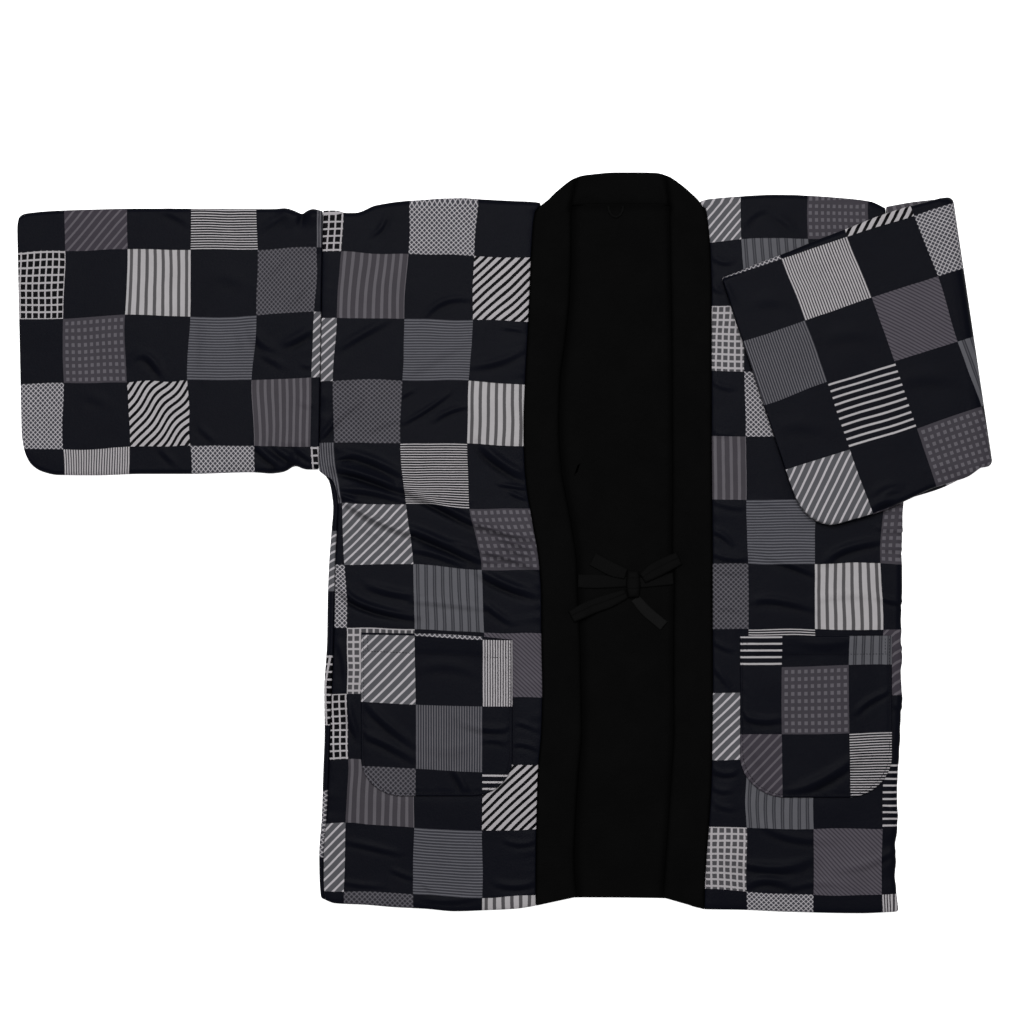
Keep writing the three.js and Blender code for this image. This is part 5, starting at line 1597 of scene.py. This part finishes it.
def pocket(side):
    left_x, right_x, mouth_left, mouth_right, bottom, corner = POCKETS[side]
    middle = (left_x + right_x) / 2
    half_width = (right_x - left_x) / 2
    half = POCKET / 2

    def low(x):
        past = np.maximum(0, np.abs(x - middle) - (half_width - corner)) / corner
        return bottom + corner * 0.92 * (1 - np.sqrt(1 - np.minimum(past, 1) ** 2))

    def high(x):
        along = np.clip((x - left_x) / (right_x - left_x), 0, 1)
        bulge = MOUTH_BULGE[side] * np.sin(math.pi * along ** 1.3)
        return mouth_left + (mouth_right - mouth_left) * along + bulge

    steps = np.array([0, 0.2, 0.6, 1.3, 2.6, 4.5, 7.0])
    width, height = right_x - left_x, max(mouth_left, mouth_right) - bottom
    middle_columns = np.linspace(steps[-1], width - steps[-1], int(width / POCKET_SPACING))[1:-1]
    columns = np.concatenate([steps, middle_columns, width - steps[::-1]])
    x = left_x + columns[None, :]
    rows = int(height / POCKET_SPACING)
    shares = np.linspace(0, 1, rows)[1:-1]
    floor_y, mouth_y = low(x), high(x)
    low_rows = floor_y + steps[:, None] * np.minimum(1, (mouth_y - floor_y) / 40)
    high_rows = mouth_y - steps[::-1, None]
    between = low_rows[-1] + shares[:, None] * (high_rows[0] - low_rows[-1])
    y = np.concatenate([low_rows, between, high_rows])
    x = np.broadcast_to(x, y.shape)
    from_left, from_right = x - left_x, right_x - x
    from_mouth = high(x) - y
    from_floor = (y - low(x)) * 0.8
    nearest = np.minimum(np.minimum(from_left, from_right), np.minimum(from_floor, from_mouth))
    rounding = share(np.maximum(nearest, 0), half)
    inside = np.minimum(from_left, from_right)
    gape = 2.0 * np.exp(-((from_mouth / 16) ** 2)) * step_up(inside, 6, 34)
    gape *= 0.75 + 0.25 * noise(x / 30, y / 200, 101)
    mid = POCKET_LIFT + half + gape
    sewn = -0.45 * np.exp(-(((np.minimum(inside, from_floor) - 3.0) / 1.0) ** 2))
    hem_fold = 0.4 * step_up(20 - from_mouth, -2, 3)
    crease, shift_x, shift_y = creases(x, y, POCKET_CREASES[side])
    waves = crease * step_up(nearest, 1, 8)
    waves += cloth_waves(x, y, 103 if side == "right" else 107, 0.5) * step_up(nearest, 3, 18)
    edge = np.minimum(inside, from_floor)
    waves += pucker(x + y, edge, 105, 0.6, 7.0, 8.0)
    relief = sewn + hem_fold + waves
    place = np.stack([x, y, mid], axis=-1)
    up = np.array([0, 0, 1.0])
    outer = place + up * (np.maximum(half + relief, 0.4) * rounding)[..., None]
    inner = place - up * (half * rounding)[..., None]
    even = pocket_chart(side, x + shift_x, y + shift_y)
    over, upward = pulled(f"pocket_{side}", even[..., 0], even[..., 1])
    uv = pocket_chart(side, x + shift_x - over, y + shift_y - upward)
    # Painted shade in the crease troughs, away from the pocket's edges.
    painted_shade = in_trough(crease) * step_up(nearest, 1, 8)
    obj = wall(f"pocket_{side}_patch", outer, inner, uv, (PRINT, PRINT), painted_shade=painted_shade)
    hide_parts(f"pocket_{side}")
    pocket_stitches(side, outer)
    return obj


def stitch_row(line, surface):
    """The stitches of one seam: small spindles of thread along a line, lying on a surface's points."""
    line = np.array(line, float)
    travelled = np.concatenate([[0], np.cumsum(np.hypot(*np.diff(line, axis=0).T))])
    starts = np.arange(STITCH_GAP, travelled[-1] - STITCH_LENGTH, STITCH_LENGTH + STITCH_GAP)
    points, faces = [], []
    corners = surface.reshape(-1, 3)
    for start in starts:
        x0, x1 = np.interp([start, start + STITCH_LENGTH], travelled, line[:, 0])
        y0, y1 = np.interp([start, start + STITCH_LENGTH], travelled, line[:, 1])
        nearest = np.argmin((corners[:, 0] - (x0 + x1) / 2) ** 2 + (corners[:, 1] - (y0 + y1) / 2) ** 2)
        z = corners[nearest, 2]
        side = np.array([y0 - y1, x1 - x0]) / STITCH_LENGTH * THREAD
        middle = [[x0 + (x1 - x0) * part, y0 + (y1 - y0) * part] for part in (0.22, 0.78)]
        base = len(points)
        points.append([x0, y0, z - 0.1])
        for x, y in middle:
            points += [[x + side[0], y + side[1], z], [x, y, z + THREAD * 1.3]]
            points += [[x - side[0], y - side[1], z], [x, y, z - THREAD]]
        points.append([x1, y1, z - 0.1])
        for k in range(4):
            after = (k + 1) % 4
            faces.append([base, base + 1 + k, base + 1 + after])
            faces.append([base + 1 + k, base + 5 + k, base + 5 + after, base + 1 + after])
            faces.append([base + 5 + k, base + 9, base + 5 + after])
    return points, faces


def pocket_stitches(side, surface):
    """The row round a pocket's sewn edge, its hem and the bars at the ends of its mouth."""
    left_x, right_x, mouth_left, mouth_right, bottom, corner = POCKETS[side]
    inset, hem_depth, bar = 3.0, 20.5, 7.6
    turn = np.linspace(math.pi, math.pi * 1.5, 16)
    radius = corner - inset
    centre_x, centre_y = left_x + corner, bottom + corner
    left_turn = [[centre_x + radius * math.cos(a), centre_y + radius * math.sin(a)] for a in turn]
    right_turn = [[left_x + right_x - x, y] for x, y in left_turn[::-1]]
    edge = [[left_x + inset, mouth_left - 2], *left_turn, *right_turn, [right_x - inset, mouth_right - 2]]
    rows = [
        edge,
        [[left_x + inset, mouth_left - hem_depth], [right_x - inset, mouth_right - hem_depth]],
        [[left_x + bar, mouth_left - 2], [left_x + bar, mouth_left - hem_depth]],
        [[right_x - bar, mouth_right - 2], [right_x - bar, mouth_right - hem_depth]],
    ]
    points, faces = [], []
    for row in rows:
        more, quads = stitch_row(row, surface)
        faces += [[len(points) + k for k in face] for face in quads]
        points += more
    _, obj = riding_mesh(f"pocket_{side}_stitches", points, faces, [THREAD_DARK], smooth=False)


# ---------- ties ----------
KNOT = {"x": 143.4, "y": -47.0, "mid": 14.6, "width": 15.6, "length": 30.0, "half": 5.6}
TAIL_HALF = 1.5


def ribbon_path(line):
    """Edges of a ribbon laid along a centre line of x, y, width and middle height."""
    line = np.array(line, float)
    along = np.gradient(line[:, :2], axis=0)
    along /= np.linalg.norm(along, axis=1, keepdims=True)
    side = np.stack([-along[:, 1], along[:, 0]], axis=1) * line[:, 2:3] / 2
    return np.concatenate([line[:, :2] + side, line[:, :2] - side, line[:, 3:4]], axis=1)


def ties():
    flat = BODY_TOP + GAP + TIE / 2
    tail = BODY_TOP + GAP + TAIL_HALF
    loop = BODY_TOP + GAP + LOOP_TIE / 2
    over_collar = COLLAR_MID + COLLAR / 2 + GAP + LOOP_TIE / 2
    over_tie = flat + TIE / 2 + GAP + LOOP_TIE / 2
    knot_right, knot_left = KNOT["x"] - KNOT["width"] / 2, KNOT["x"] + KNOT["width"] / 2

    def soft(x, y, distance, at, width):
        across = distance / width
        return 0.25 * np.sin(math.pi * np.clip(across, 0, 1)) + 0.2 * noise(at / 10, distance / 6, 111)

    def folded(x, y, distance, at, width):
        across = (distance / width - 0.5) * width
        return soft(x, y, distance, at, width) - 0.9 * np.exp(-((across / 1.1) ** 2))

    def wrapped(x, y, distance, at, width):
        return -0.9 * np.exp(-(((at - 9.0) / 0.9) ** 2)) - 0.9 * np.exp(-(((at - 20.5) / 0.9) ** 2))

    pieces = {
        "tie_right": (TIE / 2, soft, (0.016, 0.055), [
            [81.4, -43.6, 15, flat], [100, -44.0, 16, flat], [118, -44.4, 14, flat],
            [knot_right + 0.9, -44.6, 11, flat]]),
        "tie_left": (TIE / 2, soft, (0.014, 0.038), [
            [188.6, -40.6, 14, flat], [174, -42.2, 14, flat], [knot_left - 0.9, -45.6, 12, flat]]),
        "bow_loop_upper": (LOOP_TIE / 2, folded, (0.017, 0.05), [
            [knot_left + 2.6, -40.6, 12, over_tie], [165, -33, 17, over_tie],
            [180, -25, 17.5, over_collar], [195, -18, 15, over_collar]]),
        "bow_loop_lower": (LOOP_TIE / 2, folded, (0.017, 0.07), [
            [knot_right + 0.4, -57.6, 11, loop], [118, -65, 16, loop], [97, -72.5, 16.5, loop + 3],
            [84, -78.5, 16, over_collar], [74, -83.5, 14, over_collar]]),
        "bow_tail_upper": (TAIL_HALF, soft, (0.0155, 0.043), [
            [knot_right - 0.2, -35.8, 12, over_tie - 1.2], [122, -31.5, 15.5, tail + 3],
            [112, -26.6, 15.5, tail], [98, -19, 15.5, tail]]),
        "bow_tail_lower": (TAIL_HALF, soft, (0.0125, 0.046), [
            [KNOT["x"] + 2, -62.6, 11, tail], [157, -76, 12.5, tail], [178, -94, 12.5, tail]]),
        "bow_knot": (KNOT["half"], wrapped, (0.0156, 0.03), [
            [KNOT["x"], KNOT["y"] + KNOT["length"] / 2, 12, KNOT["mid"]],
            [KNOT["x"], KNOT["y"], KNOT["width"], KNOT["mid"]],
            [KNOT["x"] + 0.6, KNOT["y"] - KNOT["length"] / 2, 12, KNOT["mid"]]]),
    }
    for name, (half, relief, cut, line) in pieces.items():
        # The lower tail gets the most painted light.
        fleece = LIT_TAIL_FLEECE if name == "bow_tail_lower" else LIT_TIE_FLEECE
        obj = band(f"{name}_fleece", ribbon_path(line), half, relief, 0.9, 1.0, (fleece, fleece))
        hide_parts(name)


def hanger_loop():
    """A short cord bent to a U, both ends in the neck seam."""
    centre_x, half_width, depth, radius = 124.0, 8.2, 12.0, 1.5
    angle = math.pi * (1 - np.linspace(0, 1, 41))
    line = np.stack([
        centre_x + half_width * np.cos(angle),
        NECKLINE + 0.2 - depth * np.sin(angle),
        np.full(angle.shape, BODY_TOP + GAP + radius),
    ], axis=1)
    along = np.gradient(line, axis=0)
    along /= np.linalg.norm(along, axis=1, keepdims=True)
    up = np.array([0.0, 0.0, 1.0])
    side = np.cross(along, up)
    around = np.linspace(0, 2 * math.pi, 17)[:-1]
    twist = 0.12 * np.sin(3 * around[None, :] + np.arange(len(line))[:, None] * 0.9)
    reach = radius * (1 + twist)
    points = (
        line[:, None, :]
        + side[:, None, :] * (reach * np.cos(around)[None, :])[..., None]
        + up * (reach * np.sin(around)[None, :])[..., None]
    )
    rings, count = points.shape[:2]
    index = np.arange(rings * count).reshape(rings, count)
    after = np.roll(index, -1, axis=1)
    quads = np.stack([index[:-1], after[:-1], after[1:], index[1:]], axis=-1).reshape(-1, 4)
    caps = [index[0][::-1].tolist(), index[-1].tolist()]
    # The cord takes the ties' fleece with its painted light.
    _, obj = riding_mesh("hanger_loop_cord", points.reshape(-1, 3), quads.tolist() + caps, [LIT_TIE_FLEECE])
    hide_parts("hanger_loop")


back()
back_lining()
front_right()
front_left()
sleeve_right()
sleeve_left()
collar()
pocket("right")
pocket("left")
ties()
hanger_loop()
